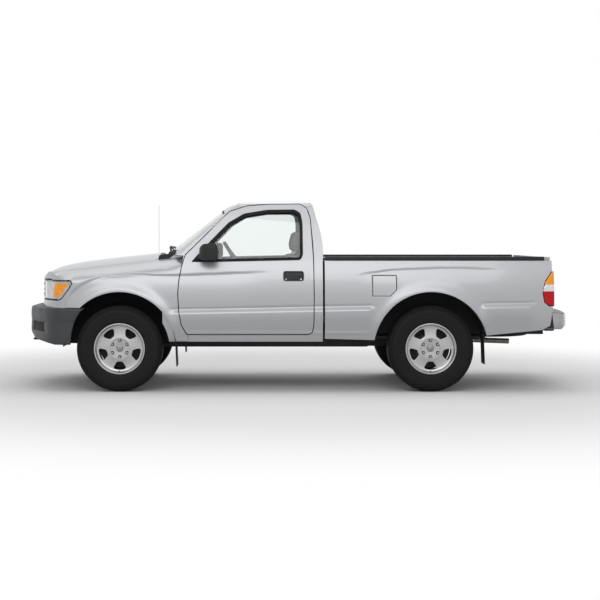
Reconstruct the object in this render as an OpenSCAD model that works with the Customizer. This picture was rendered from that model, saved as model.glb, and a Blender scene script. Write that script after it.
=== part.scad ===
// Compact two-door pickup truck: ladder frame, closed cab, open bed.
// It faces -X, its left side is -Y and it stands on its tyres at Z 0.

/* [Overall] */
// Distance between the front and rear axles
wheelbase = 2624; // [2560:1:3300]
// Front axle to the foremost point of the front bumper
front_overhang = 850; // [840:1:950]
// Rear axle to the rearmost point of the rear bumper
rear_overhang = 1212; // [1150:1:1500]
// Width of the body at its widest height
body_w = 1690; // [1660:1:2100]
// Height of the roof's highest point
roof_z = 1629; // [1500:1:1960]
// Height of the lower edge of the side windows
belt_z = 1105; // [1080:1:1130]
// Height of the lower edge of the body sides
sill_z = 423; // [400:1:450]

/* [Wheels] */
// Radius of the tyre
tyre_r = 363; // [330:1:380]
// Width of the tyre
tyre_w = 225; // [185:1:240]
// Radius of the rim's flange
rim_r = 208; // [190:1:225]
// Distance between the centres of the left and right tyres
track = 1450; // [1420:1:1460]
// Radius of the wheel arch openings
arch_r = 480; // [460:1:490]
// Distance of the kingpin inboard of the tyre's centre
kingpin_inset = 65; // [60:1:75]

/* [Cab] */
// Front axle to the front edge of the doors
door_front = 496; // [480:1:520]
// Length of the doors
door_len = 1140; // [1000:1:1400]
// Door's rear edge to the back of the cab
pillar_len = 77; // [70:1:110]
// Height of the lower edge of the doors
door_bottom = 487; // [470:1:500]
// Gap round the doors
door_gap = 8; // [8:0.5:12]
// Thickness of the doors and cab sides below the windows
side_t = 110; // [90:1:130]
// Thickness of the pillars and roof above the belt
pillar_t = 52; // [45:1:65]
// Slope of the windshield from level
windshield_angle = 37.8; // [34:0.1:42]
// Thickness of the windows
glass_t = 5; // [4:0.5:6]

/* [Front end] */
// Thickness of the fenders
fender_t = 12; // [8:1:14]
// Thickness of the hood
hood_t = 28; // [20:1:34]
// Half of the hood's width at its rear edge
hood_half = 690; // [660:1:710]
// Gap round the hood
hood_gap = 6; // [5:0.5:8]
// Thickness of the bumper's shell
bumper_t = 30; // [20:1:36]

/* [Bed] */
// Gap between the cab and the bed
bed_gap = 18; // [12:1:30]
// Height of the load floor
floor_z = 740; // [720:1:760]
// Height of the steel sides of the bed
bed_top = 1105; // [1090:1:1115]
// Half of the width inside the bed
bed_half = 720; // [700:1:730]
// Height of the tailgate's lower edge
gate_bottom = 690; // [685:1:695]
// Thickness of the tailgate
gate_t = 50; // [45:1:55]
// Gap round the tailgate
gate_gap = 6; // [5:0.5:8]
// Gap round the fuel door
fuel_gap = 6; // [5:0.5:7]

/* [Frame] */
// Height of the frame's lower face between the axles
frame_z = 352; // [345:1:370]
// Height of the frame rails
rail_h = 118; // [100:1:118]
// Width of the frame rails
rail_w = 70; // [60:1:75]
// Outer face of the front stretch of the frame rails
rail_front = 400; // [390:1:405]
// Outer face of the rear stretch of the frame rails
rail_rear = 440; // [436:1:445]
// Radius of the hole for a tow ball in the step bumper
ball_hole_r = 13; // [10:0.5:17]
// Thickness of the step bumper's plate
step_t = 12; // [8:1:16]

/* [Hidden] */

// Gap at seats and shafts
seat = 0.3;
// Small overlap that joins two solids of one piece
lap = 1;
far = 3000;

x_front = -(front_overhang + wheelbase + rear_overhang) / 2;
front_axle = x_front + front_overhang;
rear_axle = front_axle + wheelbase;
x_rear = rear_axle + rear_overhang;
half_w = body_w / 2;
wheel_y = track / 2;
kingpin_y = wheel_y - kingpin_inset;

door_x0 = front_axle + door_front;
door_x1 = door_x0 + door_len;
door_top = roof_z - 45;
cab_rear = door_x1 + pillar_len;
firewall_x = door_x0 - 133;
bed_front = cab_rear + bed_gap;
bed_rear = x_rear - 191;
fender_bottom = 708;

// Side surface of the body: an arc below the belt and a leaning plane above it
side_r = 1272;
widest_z = 735;
tumblehome = 0.33;

function side_y(z) = z <= belt_z
    ? half_w - side_r + sqrt(pow(side_r, 2) - pow(z - widest_z, 2))
    : side_y(belt_z) - (z - belt_z) * tumblehome;

function between(a, b, n) = [for (i = [0:n]) a + (b - a) * i / n];
function levels(z0, z1) = z1 <= belt_z
    ? between(z0, z1, 8)
    : concat(between(z0, belt_z, 8), [z1]);
function arc(c, r, a0, a1, n) = [for (a = between(a0, a1, n)) c + r * [cos(a), sin(a)]];
function flip(pts) = [for (i = [len(pts) - 1:-1:0]) [-pts[i].x, pts[i].y]];
function both_sides(pts) = concat(pts, flip(pts));
function unit(v) = v / norm(v);

// An outline, counter-clockwise, moved outwards by d along its whole length
function grow(p, d) = [
    for (i = [0:len(p) - 1])
        let (
            b = p[i],
            u = unit(b - p[(i + len(p) - 1) % len(p)]),
            v = unit(p[(i + 1) % len(p)] - b),
            nu = [u.y, -u.x],
            nv = [v.y, -v.x]
        )
        b + d * (nu + nv) / (1 + nu * nv)
];

module along_x(x0, x1) {
    translate([x0, 0, 0]) rotate([90, 0, 90]) linear_extrude(x1 - x0) children();
}
module along_y(y0, y1) {
    translate([0, y1, 0]) rotate([90, 0, 0]) linear_extrude(y1 - y0) children();
}
module along_z(z0, z1) {
    translate([0, 0, z0]) linear_extrude(z1 - z0) children();
}
module box(lo, hi) {
    translate(lo) cube(hi - lo);
}
module pair() {
    children();
    mirror([0, 1, 0]) children();
}
module rod(a, b, r, $fn = 24) {
    d = b - a;
    translate(a) rotate([0, acos(d.z / norm(d)), atan2(d.y, d.x)]) cylinder(h = norm(d), r = r);
}
module wheel_axis(x, y0, y1, r) {
    translate([x, y1, tyre_r]) rotate([90, 0, 0]) cylinder(h = y1 - y0, r = r, $fn = 96);
}

// A layer of the right-hand side wall, between depths t0 and t1 under its surface
module side_layer(t0, t1, z0, z1) {
    z = levels(z0, z1);
    outer = [for (h = z) [side_y(h) - t0, h]];
    inner = [for (i = [len(z) - 1:-1:0]) [side_y(z[i]) - t1, z[i]]];
    along_x(-far, far) polygon(concat(outer, inner));
}
// The whole section of the body at depth t, between two heights
module body_section(t, z0, z1) {
    polygon(both_sides([for (h = levels(z0, z1)) [side_y(h) - t, h]]));
}

/* Outlines in side view, X and Z, counter-clockwise */
function door_outline() = [
    [door_x0 + 77, door_bottom],
    [door_x1 - 41, door_bottom],
    [door_x1 - 14, door_bottom + 18],
    [door_x1 - 3, door_bottom + 73],
    [door_x1, widest_z + 53],
    [door_x1 - 3, belt_z],
    [door_x1 - 14, belt_z + 184],
    [door_x1 - 27, door_top - 120],
    [door_x1 - 55, door_top - 36],
    [door_x1 - 111, door_top],
    [door_x1 - 387, door_top - 2],
    [door_x1 - 571, door_top - 18],
    pillar_top,
    [door_x0 + 59, belt_z + 45],
    [door_x0 + 32, belt_z - 44],
    [door_x0 + 9, belt_z - 162],
    [door_x0, belt_z - 272],
    [door_x0 + 9, widest_z - 56],
    [door_x0 + 32, door_bottom + 73]
];
// The pillar's foot stays, and its top lies where it meets the roof rail
pillar_rise = door_top - 64 - (belt_z + 45);
pillar_top = [door_x0 + 59 + pillar_rise, door_top - 64];

function window_outline() = [
    [sail_x, belt_z - 13],
    [door_x1 - 571, belt_z - 5],
    [door_x1 - 111, belt_z + 5],
    [door_x1 - 88, belt_z + 46],
    [door_x1 - 90, door_top - 156],
    [door_x1 - 106, door_top - 74],
    [door_x1 - 156, door_top - 44],
    [door_x1 - 387, door_top - 46],
    pillar_top + [125, -14],
    pillar_top + [-9, -92],
    [sail_x, belt_z + 9 + sail_x - door_x0 - 112]
];
// The mirror stands on a panel in the front corner of the window
sail_x = door_x0 + 197;
window_cut = grow(window_outline(), -22);

// Cab: side profile, cross-section and the curved face of the windshield
roof_arc_r = 2700;
roof_mid = door_x1 - 203;
function roof_line(x) = roof_z - pow(x - roof_mid, 2) / (2 * roof_arc_r);
rear_lean = 0.16;
function cab_profile() = concat(
    [[firewall_x, sill_z], [cab_rear, sill_z], [cab_rear, belt_z + 31]],
    arc(
        [cab_rear - (roof_z - belt_z - 121) * rear_lean - 90, roof_z - 90],
        82, 8, 80, 4
    ),
    [for (x = between(roof_mid + 120, roof_mid - 600, 6)) [x, roof_line(x)]],
    [[firewall_x, roof_line(roof_mid - 600)]]
);
roof_corner_r = 55;
roof_crown = 29;
lean = atan(tumblehome);
corner_z = roof_z - roof_crown - roof_corner_r * (sin(84) - sin(lean));
corner_mid = [side_y(corner_z), corner_z] - roof_corner_r * [cos(lean), sin(lean)];
roof_edge = corner_mid + roof_corner_r * [cos(84), sin(84)];
function cab_section() = both_sides(concat(
    [for (h = between(sill_z, belt_z, 8)) [side_y(h), h]],
    arc(corner_mid, roof_corner_r, lean, 84, 4),
    [for (f = [0.75, 0.5, 0.25]) [roof_edge.x * f, roof_z - (roof_z - roof_edge.y) * f * f]]
));

windshield_foot = [firewall_x + 138, 0, belt_z + 164];
windshield_r = 3800;
function windshield_sag(y) = pow(y, 2) / (2 * windshield_r);
module at_windshield() {
    translate(windshield_foot) rotate([0, -windshield_angle, 0]) children();
}
// The space behind the windshield's outer face, moved inwards by t
module behind_windshield(t) {
    face = [for (y = between(900, -900, 12)) [y, -t - windshield_sag(y)]];
    at_windshield() along_x(-far, far) polygon(concat([[-900, -far], [900, -far]], face));
}
// Outline of the windshield seen square to it: along its slope, and across
windshield_len = (roof_z - 79 - windshield_foot.z) / sin(windshield_angle);
function windshield_outline() = [
    [-118, -half_w + 172],
    [windshield_len - 12, -half_w + 264],
    [windshield_len + 4, 0],
    [windshield_len - 12, half_w - 264],
    [-118, half_w - 172],
    [-132, 0]
];

module cab_outer() {
    intersection() {
        along_y(-far, far) polygon(cab_profile());
        along_x(-far, far) polygon(cab_section());
        behind_windshield(0);
    }
}
module cab_inside() {
    intersection() {
        along_y(-far, far) polygon(grow(cab_profile(), -pillar_t));
        along_x(-far, far) polygon(grow(cab_section(), -pillar_t));
        behind_windshield(pillar_t);
        union() {
            along_z(belt_z, far) square([2 * far, 2 * far], center = true);
            along_x(-far, far) body_section(side_t, sill_z - 1, belt_z);
        }
    }
    // The cabin is open below, where the floor pan closes it
    box(
        [firewall_x + pillar_t, -cabin_half, sill_z - lap],
        [cab_rear - pillar_t, cabin_half, door_bottom + 80]
    );
    box([-far, -cabin_half, 0], [far, cabin_half, floor_top - 20]);
    box([-far, -tunnel_half + 15, 0], [door_x0, tunnel_half - 15, tunnel_top - 15]);
}
cabin_half = side_y(sill_z) - side_t;
// Reach of a steered front wheel from its axle's centre, with room to spare
wheel_sweep_r = norm([tyre_r, kingpin_inset + tyre_w / 2]) + 18;
rear_window_cut = [
    [-half_w + 285, belt_z + 75],
    [half_w - 285, belt_z + 75],
    [half_w - 330, roof_z - 150],
    [-half_w + 330, roof_z - 150]
];
sill_joint = door_x0 + 82;

module cab_shell() color("silver") {
    difference() {
        cab_outer();
        cab_inside();
        pair() along_y(half_w - 420, far) polygon(grow(door_outline(), door_gap));
        at_windshield() along_z(-150, 100) polygon(windshield_outline());
        along_x(cab_rear - 150, far) polygon(rear_window_cut);
        // Room for the steered front wheels
        arch_space(front_axle, wheel_sweep_r);
        // The front posts are set in under the fenders
        pair() difference() {
            along_y(hood_half - 4, far) polygon(grow(fender_zone(), 3));
            front_outer(fender_t + seat);
        }
    }
    pair() for (z = door_stops) door_stop(z);
}

module windshield() color("lightgray", 0.4) {
    intersection() {
        difference() {
            behind_windshield(6);
            behind_windshield(6 + glass_t);
        }
        at_windshield() along_z(-150, 100) polygon(grow(windshield_outline(), -seat));
    }
}

module rear_window() color("lightgray", 0.4) {
    x = cab_rear - (roof_z - belt_z - 121) * rear_lean;
    slope = [
        [cab_rear - 20, belt_z + 31],
        [cab_rear - 20 + glass_t, belt_z + 31],
        [x - 20 + glass_t, roof_z - 90],
        [x - 20, roof_z - 90]
    ];
    intersection() {
        along_y(-half_w, half_w) polygon(slope);
        along_x(-far, far) polygon(grow(rear_window_cut, -seat));
    }
}

floor_top = frame_z + rail_h + 20;
tunnel_half = 160;
tunnel_top = 610;
riser_x = door_x1 - 760;
module cab_floor() color("dimgray") {
    front = firewall_x + pillar_t + seat;
    rear = cab_rear - pillar_t - seat;
    wide = cabin_half - seat;
    difference() {
        union() {
            box([front, -wide, floor_top - 20], [rear, wide, floor_top]);
            box([front, -tunnel_half, floor_top - lap], [rear, tunnel_half, tunnel_top]);
            // Box under the seat
            box([riser_x, -wide + 60, floor_top - lap], [rear, wide - 60, seat_bottom]);
        }
        box(
            [front - lap, -tunnel_half + 15, 0],
            [riser_x + 200, tunnel_half - 15, tunnel_top - 15]
        );
        box([riser_x + 200 - lap, -tunnel_half + 15, 0], [rear + lap, tunnel_half - 15, 560]);
    }
}

seat_bottom = 640;
seat_half = half_w - 195;
seat_rake = 12;
seat_x = door_x1 - 700;
module bench_seat() color("gray") {
    cushion = concat(
        arc([seat_x + 50, seat_bottom + 60], 50, 180, 270, 4),
        [[seat_x + 520, seat_bottom], [seat_x + 520, seat_bottom + 132]],
        [[seat_x + 390, seat_bottom + 132]],
        arc([seat_x + 60, seat_bottom + 90], 60, 80, 180, 4)
    );
    along_y(-seat_half, seat_half) polygon(cushion);
    translate([seat_x + 400, 0, seat_bottom + 128]) rotate([0, seat_rake, 0]) {
        along_y(-seat_half, seat_half) polygon(concat(
            [[0, 4], [125, 4]],
            arc([85, 360], 40, 0, 90, 3),
            arc([40, 350], 50, 90, 180, 3)
        ));
        for (s = [-1, 1]) translate([60, s * 350, 0]) {
            for (y = [-60, 60]) translate([0, y, 395]) cylinder(h = 50, r = 7);
            along_y(-125, 125) polygon(concat(
                arc([-10, 470], 32, 180, 270, 3),
                arc([14, 470], 32, 270, 360, 3),
                arc([10, 570], 32, 0, 90, 3),
                arc([-8, 570], 32, 90, 180, 3)
            ));
        }
    }
}

dash_x = firewall_x + pillar_t;
module dashboard() color("dimgray") {
    dashboard_shape(0);
}
module dashboard_shape(t) {
    intersection() {
        along_y(-far, far) polygon(grow(concat(
            [[dash_x + seat, 880], [dash_x + 180, 780], [dash_x + 260, 860]],
            arc([dash_x + 230, 1010], 70, -20, 75, 4),
            [[dash_x + 40, 1120], [dash_x + seat, 1112]]
        ), t));
        along_x(-far, far) body_section(side_t + 8, 700, belt_z + 80);
        behind_windshield(pillar_t + 2);
    }
}

steering_wheel_r = 185;
steering_tilt = 57;
steering_mid = [door_x0 + 470, -half_w + 475, 1110];
module steering_wheel() color("dimgray") difference() {
    translate(steering_mid) rotate([0, -90 + steering_tilt, 0]) rotate([0, -90, 0]) {
        rotate_extrude($fn = 48) translate([steering_wheel_r - 14, 0]) circle(r = 14, $fn = 24);
        for (a = [60, 180, 300]) rotate([0, 0, a]) {
            translate([30, -14, -8]) cube([steering_wheel_r - 40, 28, 12]);
        }
        translate([0, 0, -20]) cylinder(h = 40, r = 62, $fn = 48);
        translate([0, 0, 15]) cylinder(h = 300, r = 26, $fn = 24);
    }
    dashboard_shape(seat);
}

/* Front end: hood, fenders, lamps and grille share one outer shape */
nose_x = x_front + 103;
function hood_line() = [
    [firewall_x - 35, belt_z + 61],
    [firewall_x - 78, belt_z + 56],
    [front_axle - 75, belt_z + 20],
    [front_axle - 363, belt_z - 12],
    [front_axle - 570, belt_z - 57],
    [nose_x + 90, belt_z - 93],
    [nose_x + 40, belt_z - 143],
    [nose_x + 12, belt_z - 200],
    [nose_x, belt_z - 305],
    [nose_x + 4, fender_bottom - 30]
];
function front_profile() = concat(
    hood_line(),
    [[nose_x + 4, sill_z - 200], [firewall_x + 600, sill_z - 200]],
    [[firewall_x + 600, belt_z + 61]]
);
crown_r = 4279;
shoulder_y = half_w - 155;
hood_slope = 6.6;
function crown_drop(y) = pow(y, 2) / (2 * crown_r)
    + (abs(y) > shoulder_y ? 0.0035 * pow(abs(y) - shoulder_y, 2) : 0);
nose_r = 2564;
nose_corner_r = 130;
nose_half = half_w - 46;
// Plan of the nose, as half width against X
function plan_right(t) = concat(
    [[firewall_x + far, half_w - t], [front_axle + 240, half_w - t]],
    [for (a = between(0, 72, 5))
        [nose_x + 285 - nose_corner_r * sin(a) * 1.28,
         nose_half - t - nose_corner_r * (1 - cos(a))]],
    [for (y = between(nose_half - 220, 0, 4)) [nose_x + t + pow(y, 2) / (2 * nose_r), y]]
);
function plan_outline(t) = let (r = plan_right(t))
    concat(r, [for (i = [len(r) - 2:-1:0]) [r[i].x, -r[i].y]]);

module front_outer(t) {
    intersection() {
        along_y(-far, far) polygon(grow(front_profile(), -t));
        along_x(-far, far) body_section(t, sill_z - 50, belt_z + 70);
        translate([firewall_x - 78, 0, belt_z + 61]) rotate([0, -hood_slope, 0])
            along_x(-far, far) polygon(concat(
                [[-900, -far], [900, -far]],
                [for (y = between(900, -900, 20)) [y, -t - crown_drop(y)]]
            ));
        along_z(0, far) polygon(plan_outline(t));
    }
}

// The fender's zone in side view, without the arch
fender_front_x = front_axle - 640;
lamp_top = belt_z - 161;
function fender_zone() = [
    [front_axle - far, fender_bottom],
    [front_axle, fender_bottom],
    [front_axle + 200, sill_z + 4],
    [sill_joint, sill_z + 4],
    [sill_joint, door_bottom - door_gap],
    [door_x0 + 77 - door_gap, door_bottom - door_gap],
    [door_x0 + 32 - door_gap, door_bottom + 73],
    [door_x0 + 9 - door_gap, widest_z - 56],
    [door_x0 - door_gap, belt_z - 272],
    [door_x0 + 9 - door_gap, belt_z - 162],
    [door_x0 + 32 - door_gap, belt_z - 44],
    [door_x0 + 59 - door_gap - 12, belt_z + 40],
    [firewall_x - 20, belt_z + 61],
    [front_axle - far, belt_z + 61]
];
// The lamp's zone in side view; its front end is open
function lamp_zone() = [
    [front_axle - 434, lamp_top - 70],
    [front_axle - 408, lamp_top - 29],
    [front_axle - 427, lamp_top - 2],
    [front_axle - far, lamp_top],
    [front_axle - far, lamp_top - 184],
    [front_axle - 567, lamp_top - 178],
    [front_axle - 524, lamp_top - 164]
];
lamp_inner_y = half_w - 385;
module arch_space(x, r) {
    wheel_axis(x, -far, far, r);
}
module fender_right() color("silver") {
    difference() {
        intersection() {
            front_outer(0);
            along_y(half_w - 260, far) polygon(fender_zone());
        }
        front_outer(fender_t);
        box([-far, 0, fender_bottom], [firewall_x - 30, hood_half, far]);
        box([-far, 0, lamp_top + 6], [firewall_x + far, hood_half, far]);
        // Nose below the hood belongs to the lamps and the grille
        box([-far, 0, 0], [fender_front_x - 30, lamp_inner_y, far]);
        along_y(0, far) polygon(grow(lamp_zone(), seat));
        arch_space(front_axle, arch_r);
    }
}
module fender_left() mirror([0, 1, 0]) fender_right();

module hood() color("silver") {
    intersection() {
        difference() {
            front_outer(0);
            front_outer(hood_t);
        }
        box(
            [-far, -hood_half + hood_gap, lamp_top + 6],
            [firewall_x - 48, hood_half - hood_gap, far]
        );
    }
}

module grille() color("dimgray") {
    intersection() {
        difference() {
            front_outer(4);
            front_outer(50);
        }
        box(
            [-far, -lamp_inner_y + seat, fender_bottom + 6],
            [front_axle - 500, lamp_inner_y - seat, lamp_top]
        );
    }
}

lamp_t = 80;
module headlamps() color("whitesmoke") {
    pair() intersection() {
        difference() {
            front_outer(1);
            front_outer(lamp_t);
        }
        along_y(lamp_inner_y, far) polygon(lamp_zone());
    }
}

bumper_arch_r = 452;
bumper_top = fender_bottom - 4;
bumper_low = 395;
bumper_face = [
    [x_front + 23, bumper_top],
    [x_front + 5, 610],
    [x_front, 560],
    [x_front + 8, 500],
    [x_front + 53, 430],
    [x_front + 163, bumper_low]
];
bumper_profile = concat(
    bumper_face,
    [[front_axle, bumper_low], [front_axle, bumper_top]]
);
bumper_back = x_front + 230;
bumper_r = 2675;
bumper_corner_r = 120;
bumper_half = half_w - 10;
function bumper_plan(t) = let (
    r = concat(
        [[front_axle - 200, bumper_half - t]],
        [for (a = between(0, 75, 5))
            [x_front + 102 + bumper_corner_r * (1 - sin(a)) * 1.1,
             bumper_half - t - bumper_corner_r * (1 - cos(a))]],
        [for (y = between(bumper_half - 200, 0, 4)) [x_front + t + pow(y, 2) / (2 * bumper_r), y]]
    )
) concat(r, [for (i = [len(r) - 2:-1:0]) [r[i].x, -r[i].y]]);

module front_bumper() color("dimgray") {
    difference() {
        intersection() {
            along_y(-far, far) polygon(concat(
                bumper_face,
                [[front_axle - 200, bumper_low], [front_axle - 200, bumper_top]]
            ));
            along_z(0, far) polygon(bumper_plan(0));
        }
        intersection() {
            along_y(-far, far) polygon(grow(bumper_profile, -bumper_t));
            along_z(0, far) polygon(bumper_plan(bumper_t));
        }
        // Behind the face only the wings go back to the wheels
        box([bumper_back, -half_w + 160, 0], [0, half_w - 160, bumper_top + lap]);
        arch_space(front_axle, bumper_arch_r);
    }
}

radiator_x = nose_x + 150;
module radiator() color("black") {
    half = rail_front - rail_w - seat;
    box([radiator_x, -half, engine_z], [radiator_x + 45, half, lamp_top - 30]);
    box([radiator_x + 44, -half - 15, lamp_top - 90], [radiator_x + 70, half + 15, lamp_top - 30]);
    // Two buffers that the closed hood rests on
    intersection() {
        pair() translate([radiator_x + 56, 250, lamp_top - 60]) cylinder(h = 300, r = 12, $fn = 32);
        front_outer(hood_t + seat);
    }
}

engine_half = 250;
engine_z = 440;
module engine_block() color("gray") {
    box([front_axle - 430, -engine_half, engine_z], [front_axle + 190, engine_half, 930]);
}

module cowl_panel() color("dimgray") {
    difference() {
        along_y(-hood_half + 3, hood_half - 3) polygon([
            [firewall_x - 40, belt_z - 5],
            [firewall_x + 90, belt_z - 5],
            [firewall_x + 90, belt_z + 68],
            [firewall_x - 40, belt_z + 42]
        ]);
        behind_windshield(-seat);
    }
}

/* Doors */
// Each closed door rests on two stops on the rear post of the cab
door_stops = [690, 940];
stop_h = 60;
stop_t = 40;
stop_gap = 0.7;
module door_stop(z) {
    intersection() {
        side_layer(side_t + stop_gap, side_t + stop_t, z, z + stop_h);
        box([door_x1 - 60, 0, z], [door_x1 + 30, far, z + stop_h]);
    }
    intersection() {
        side_layer(side_t - 5, side_t + stop_t, z, z + stop_h);
        box([door_x1 + door_gap + 2, 0, z], [door_x1 + 30, far, z + stop_h]);
    }
}
door_flange = 12;
module door_right() color("silver") {
    difference() {
        union() {
            intersection() {
                side_layer(0, door_flange, door_bottom - lap, door_top + lap);
                along_y(0, far) polygon(door_outline());
            }
            intersection() {
                union() {
                    side_layer(door_flange - lap, side_t, door_bottom, belt_z);
                    side_layer(door_flange - lap, pillar_t, belt_z - lap, door_top);
                }
                along_y(0, far) polygon(grow(door_outline(), -25));
            }
        }
        along_y(0, far) polygon(window_cut);
    }
}
module door_left() mirror([0, 1, 0]) door_right();

glass_depth = 26;
module door_glass_right() color("lightgray", 0.4) {
    intersection() {
        side_layer(glass_depth, glass_depth + glass_t, belt_z, door_top);
        along_y(0, far) polygon(grow(window_cut, -seat));
    }
}
module door_glass_left() mirror([0, 1, 0]) door_glass_right();

mirror_x = door_x0 + 178;
mirror_y = half_w - 45;
mirror_w = 150;
mirror_z = belt_z + 4;
module mirror_right() color("dimgray") {
    intersection() {
        along_y(mirror_y, mirror_y + mirror_w) polygon(concat(
            arc([mirror_x + 40, mirror_z + 40], 40, 180, 270, 4),
            arc([mirror_x + 124, mirror_z + 30], 30, 270, 360, 4),
            arc([mirror_x + 124, mirror_z + 110], 30, 0, 90, 4),
            arc([mirror_x + 60, mirror_z + 80], 60, 90, 180, 4)
        ));
        along_z(0, far) polygon(concat(
            arc([mirror_x + 60, mirror_y + 60], 60, 180, 270, 4),
            [[mirror_x + 154, mirror_y], [mirror_x + 154, mirror_y + mirror_w]],
            arc([mirror_x + 90, mirror_y + mirror_w - 90], 90, 90, 180, 4)
        ));
    }
    difference() {
        along_y(mirror_y - 60, mirror_y + 30) polygon([
            [mirror_x - 22, mirror_z + 10],
            [mirror_x + 60, mirror_z + 10],
            [mirror_x + 60, mirror_z + 52],
            [mirror_x - 12, mirror_z + 52]
        ]);
        side_layer(-seat, 300, belt_z - 50, belt_z + 150);
    }
}
module mirror_left() mirror([0, 1, 0]) mirror_right();

/* Bed */
rail_cap_t = 34;
bed_skin = 30;
bed_low = sill_z + 25;
lamp_lo = 722;
lamp_hi = 1014;
tail_lamp_y = half_w - 98;
function tail_lamp_zone() = [
    [bed_rear + 13, lamp_lo],
    [bed_rear + 13, lamp_hi],
    [bed_rear - 7, lamp_hi],
    [bed_rear - 64, lamp_hi - 83],
    [bed_rear - 85, lamp_hi - 180],
    [bed_rear - 72, lamp_hi - 260],
    [bed_rear - 32, lamp_lo]
];
function bed_side_zone() = [
    [bed_front, bed_low],
    [rear_axle - arch_r, bed_low - 12],
    [rear_axle + arch_r - 40, bed_low + 25],
    [bed_rear - 90, bed_low + 73],
    [bed_rear - 20, bed_low + 110],
    [bed_rear, bed_low + 250],
    [bed_rear, bed_top],
    [bed_front, bed_top]
];
wheelhouse_x0 = rear_axle - 371;
wheelhouse_x1 = rear_axle + 369;
wheelhouse_z = 950;
module bed_side_right() color("silver") {
    difference() {
        intersection() {
            along_x(-far, far) body_section(0, bed_low - 20, bed_top);
            along_y(bed_half, far) polygon(bed_side_zone());
        }
        along_x(-far, far) body_section(bed_skin, 0, floor_z - 60);
        arch_space(rear_axle, arch_r);
        along_y(0, far) polygon(grow(tail_lamp_zone(), 1));
        box([bed_rear - gate_t - 20, 0, 0], [far, bed_half + gate_gap, far]);
        translate([gate_pin.x, bed_half + 22, gate_pin.y]) rotate([90, 0, 0])
            cylinder(h = 60, r = gate_pin_r + seat, $fn = 48);
    }
}
module bed_side_left() color("silver") {
    difference() {
        mirror([0, 1, 0]) bed_side_right();
        along_y(-far, -half_w + 70) polygon(grow(fuel_outline(), fuel_gap));
    }
    // Filler neck with its cap, and the catch that the fuel door closes on
    intersection() {
        union() {
            translate([fuel_x + 95, -half_w + 80, fuel_z + 80]) rotate([90, 0, 0])
                cylinder(h = 50, r = 38, $fn = 48);
            box(
                [fuel_x + fuel_w - 16, -half_w, fuel_z + 95],
                [fuel_x + fuel_w - 6, -half_w + 71, fuel_z + 120]
            );
        }
        along_x(-far, far) body_section(fuel_door_t + seat, fuel_z - 50, fuel_z + 250);
    }
}

// The fuel door is hinged at its front edge
fuel_x = rear_axle - 488;
fuel_z = 811;
fuel_w = 193;
fuel_h = 165;
fuel_cut = 50;
function fuel_outline() = [
    [fuel_x, fuel_z],
    [fuel_x + fuel_w - fuel_cut, fuel_z],
    [fuel_x + fuel_w, fuel_z + fuel_cut],
    [fuel_x + fuel_w, fuel_z + fuel_h],
    [fuel_x, fuel_z + fuel_h]
];
fuel_door_t = 8;
module fuel_door() color("silver") {
    mirror([0, 1, 0]) intersection() {
        side_layer(0, fuel_door_t, fuel_z, fuel_z + fuel_h);
        along_y(0, far) polygon(fuel_outline());
    }
}

bed_sill_z = 655;
function rail_mid(x) = lookup(x, [
    [front_axle - 407, frame_z + rail_h],
    [front_axle - 287, frame_z + rail_h / 2],
    [rear_axle - 511, frame_z + rail_h / 2],
    [rear_axle - 281, 560],
    [rear_axle + 269, 560],
    [rear_axle + 429, 520]
]);
bed_cross = [bed_front + 80, rear_axle - 500, rear_axle - 60, rear_axle + 270, bed_rear - 150];
module bed_floor() color("silver") {
    difference() {
        union() {
            box([bed_front, -bed_half, floor_z - 20], [bed_rear - gate_t - 8, bed_half, floor_z]);
            box([bed_front, -bed_half, floor_z - lap], [bed_front + 40, bed_half, bed_top]);
            pair() box(
                [wheelhouse_x0, bed_half - 193, floor_z - lap],
                [wheelhouse_x1, bed_half, wheelhouse_z]
            );
            for (x = bed_cross) {
                box([x - 35, -bed_half + 20, bed_sill_z], [x + 35, bed_half - 20, floor_z - 19]);
                pair() box(
                    [x - 30, rail_rear - rail_w, max(rail_mid(x - 30), rail_mid(x + 30)) + rail_h / 2],
                    [x + 30, rail_rear, bed_sill_z + lap]
                );
            }
        }
        // Wheelhouses are hollow over the tyres
        pair() intersection() {
            wheel_axis(rear_axle, bed_half - 175, bed_half + lap, arch_r + 60);
            box(
                [wheelhouse_x0 + 15, 0, floor_z - 90],
                [wheelhouse_x1 - 15, far, wheelhouse_z - 15]
            );
        }
        pair() wheel_axis(rear_axle, bed_half - 175, bed_half + lap, tyre_r + 30);
    }
}

module bed_rail_caps() color("dimgray") {
    pair() box(
        [bed_front + 4, bed_half - 6, bed_top],
        [bed_rear - gate_t - 12, side_y(bed_top) + 6, bed_top + rail_cap_t]
    );
    box([bed_front + 4, -bed_half + 5, bed_top], [bed_front + 44, bed_half - 5, bed_top + 20]);
}

gate_top = bed_top + 30;
gate_pin = [bed_rear - gate_t + (floor_z - gate_bottom) - 12, gate_bottom + 12];
gate_pin_r = 7;
module tailgate() color("silver") {
    box([bed_rear - gate_t, -bed_half, gate_bottom], [bed_rear, bed_half, gate_top]);
    translate([gate_pin.x, bed_half + 20, gate_pin.y]) rotate([90, 0, 0])
        cylinder(h = 2 * (bed_half + 20), r = gate_pin_r, $fn = 48);
}

module tail_lamps() color("firebrick") {
    pair() intersection() {
        along_x(-far, far) body_section(2, bed_low, bed_top);
        along_y(tail_lamp_y, far) polygon(tail_lamp_zone());
    }
}

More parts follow.
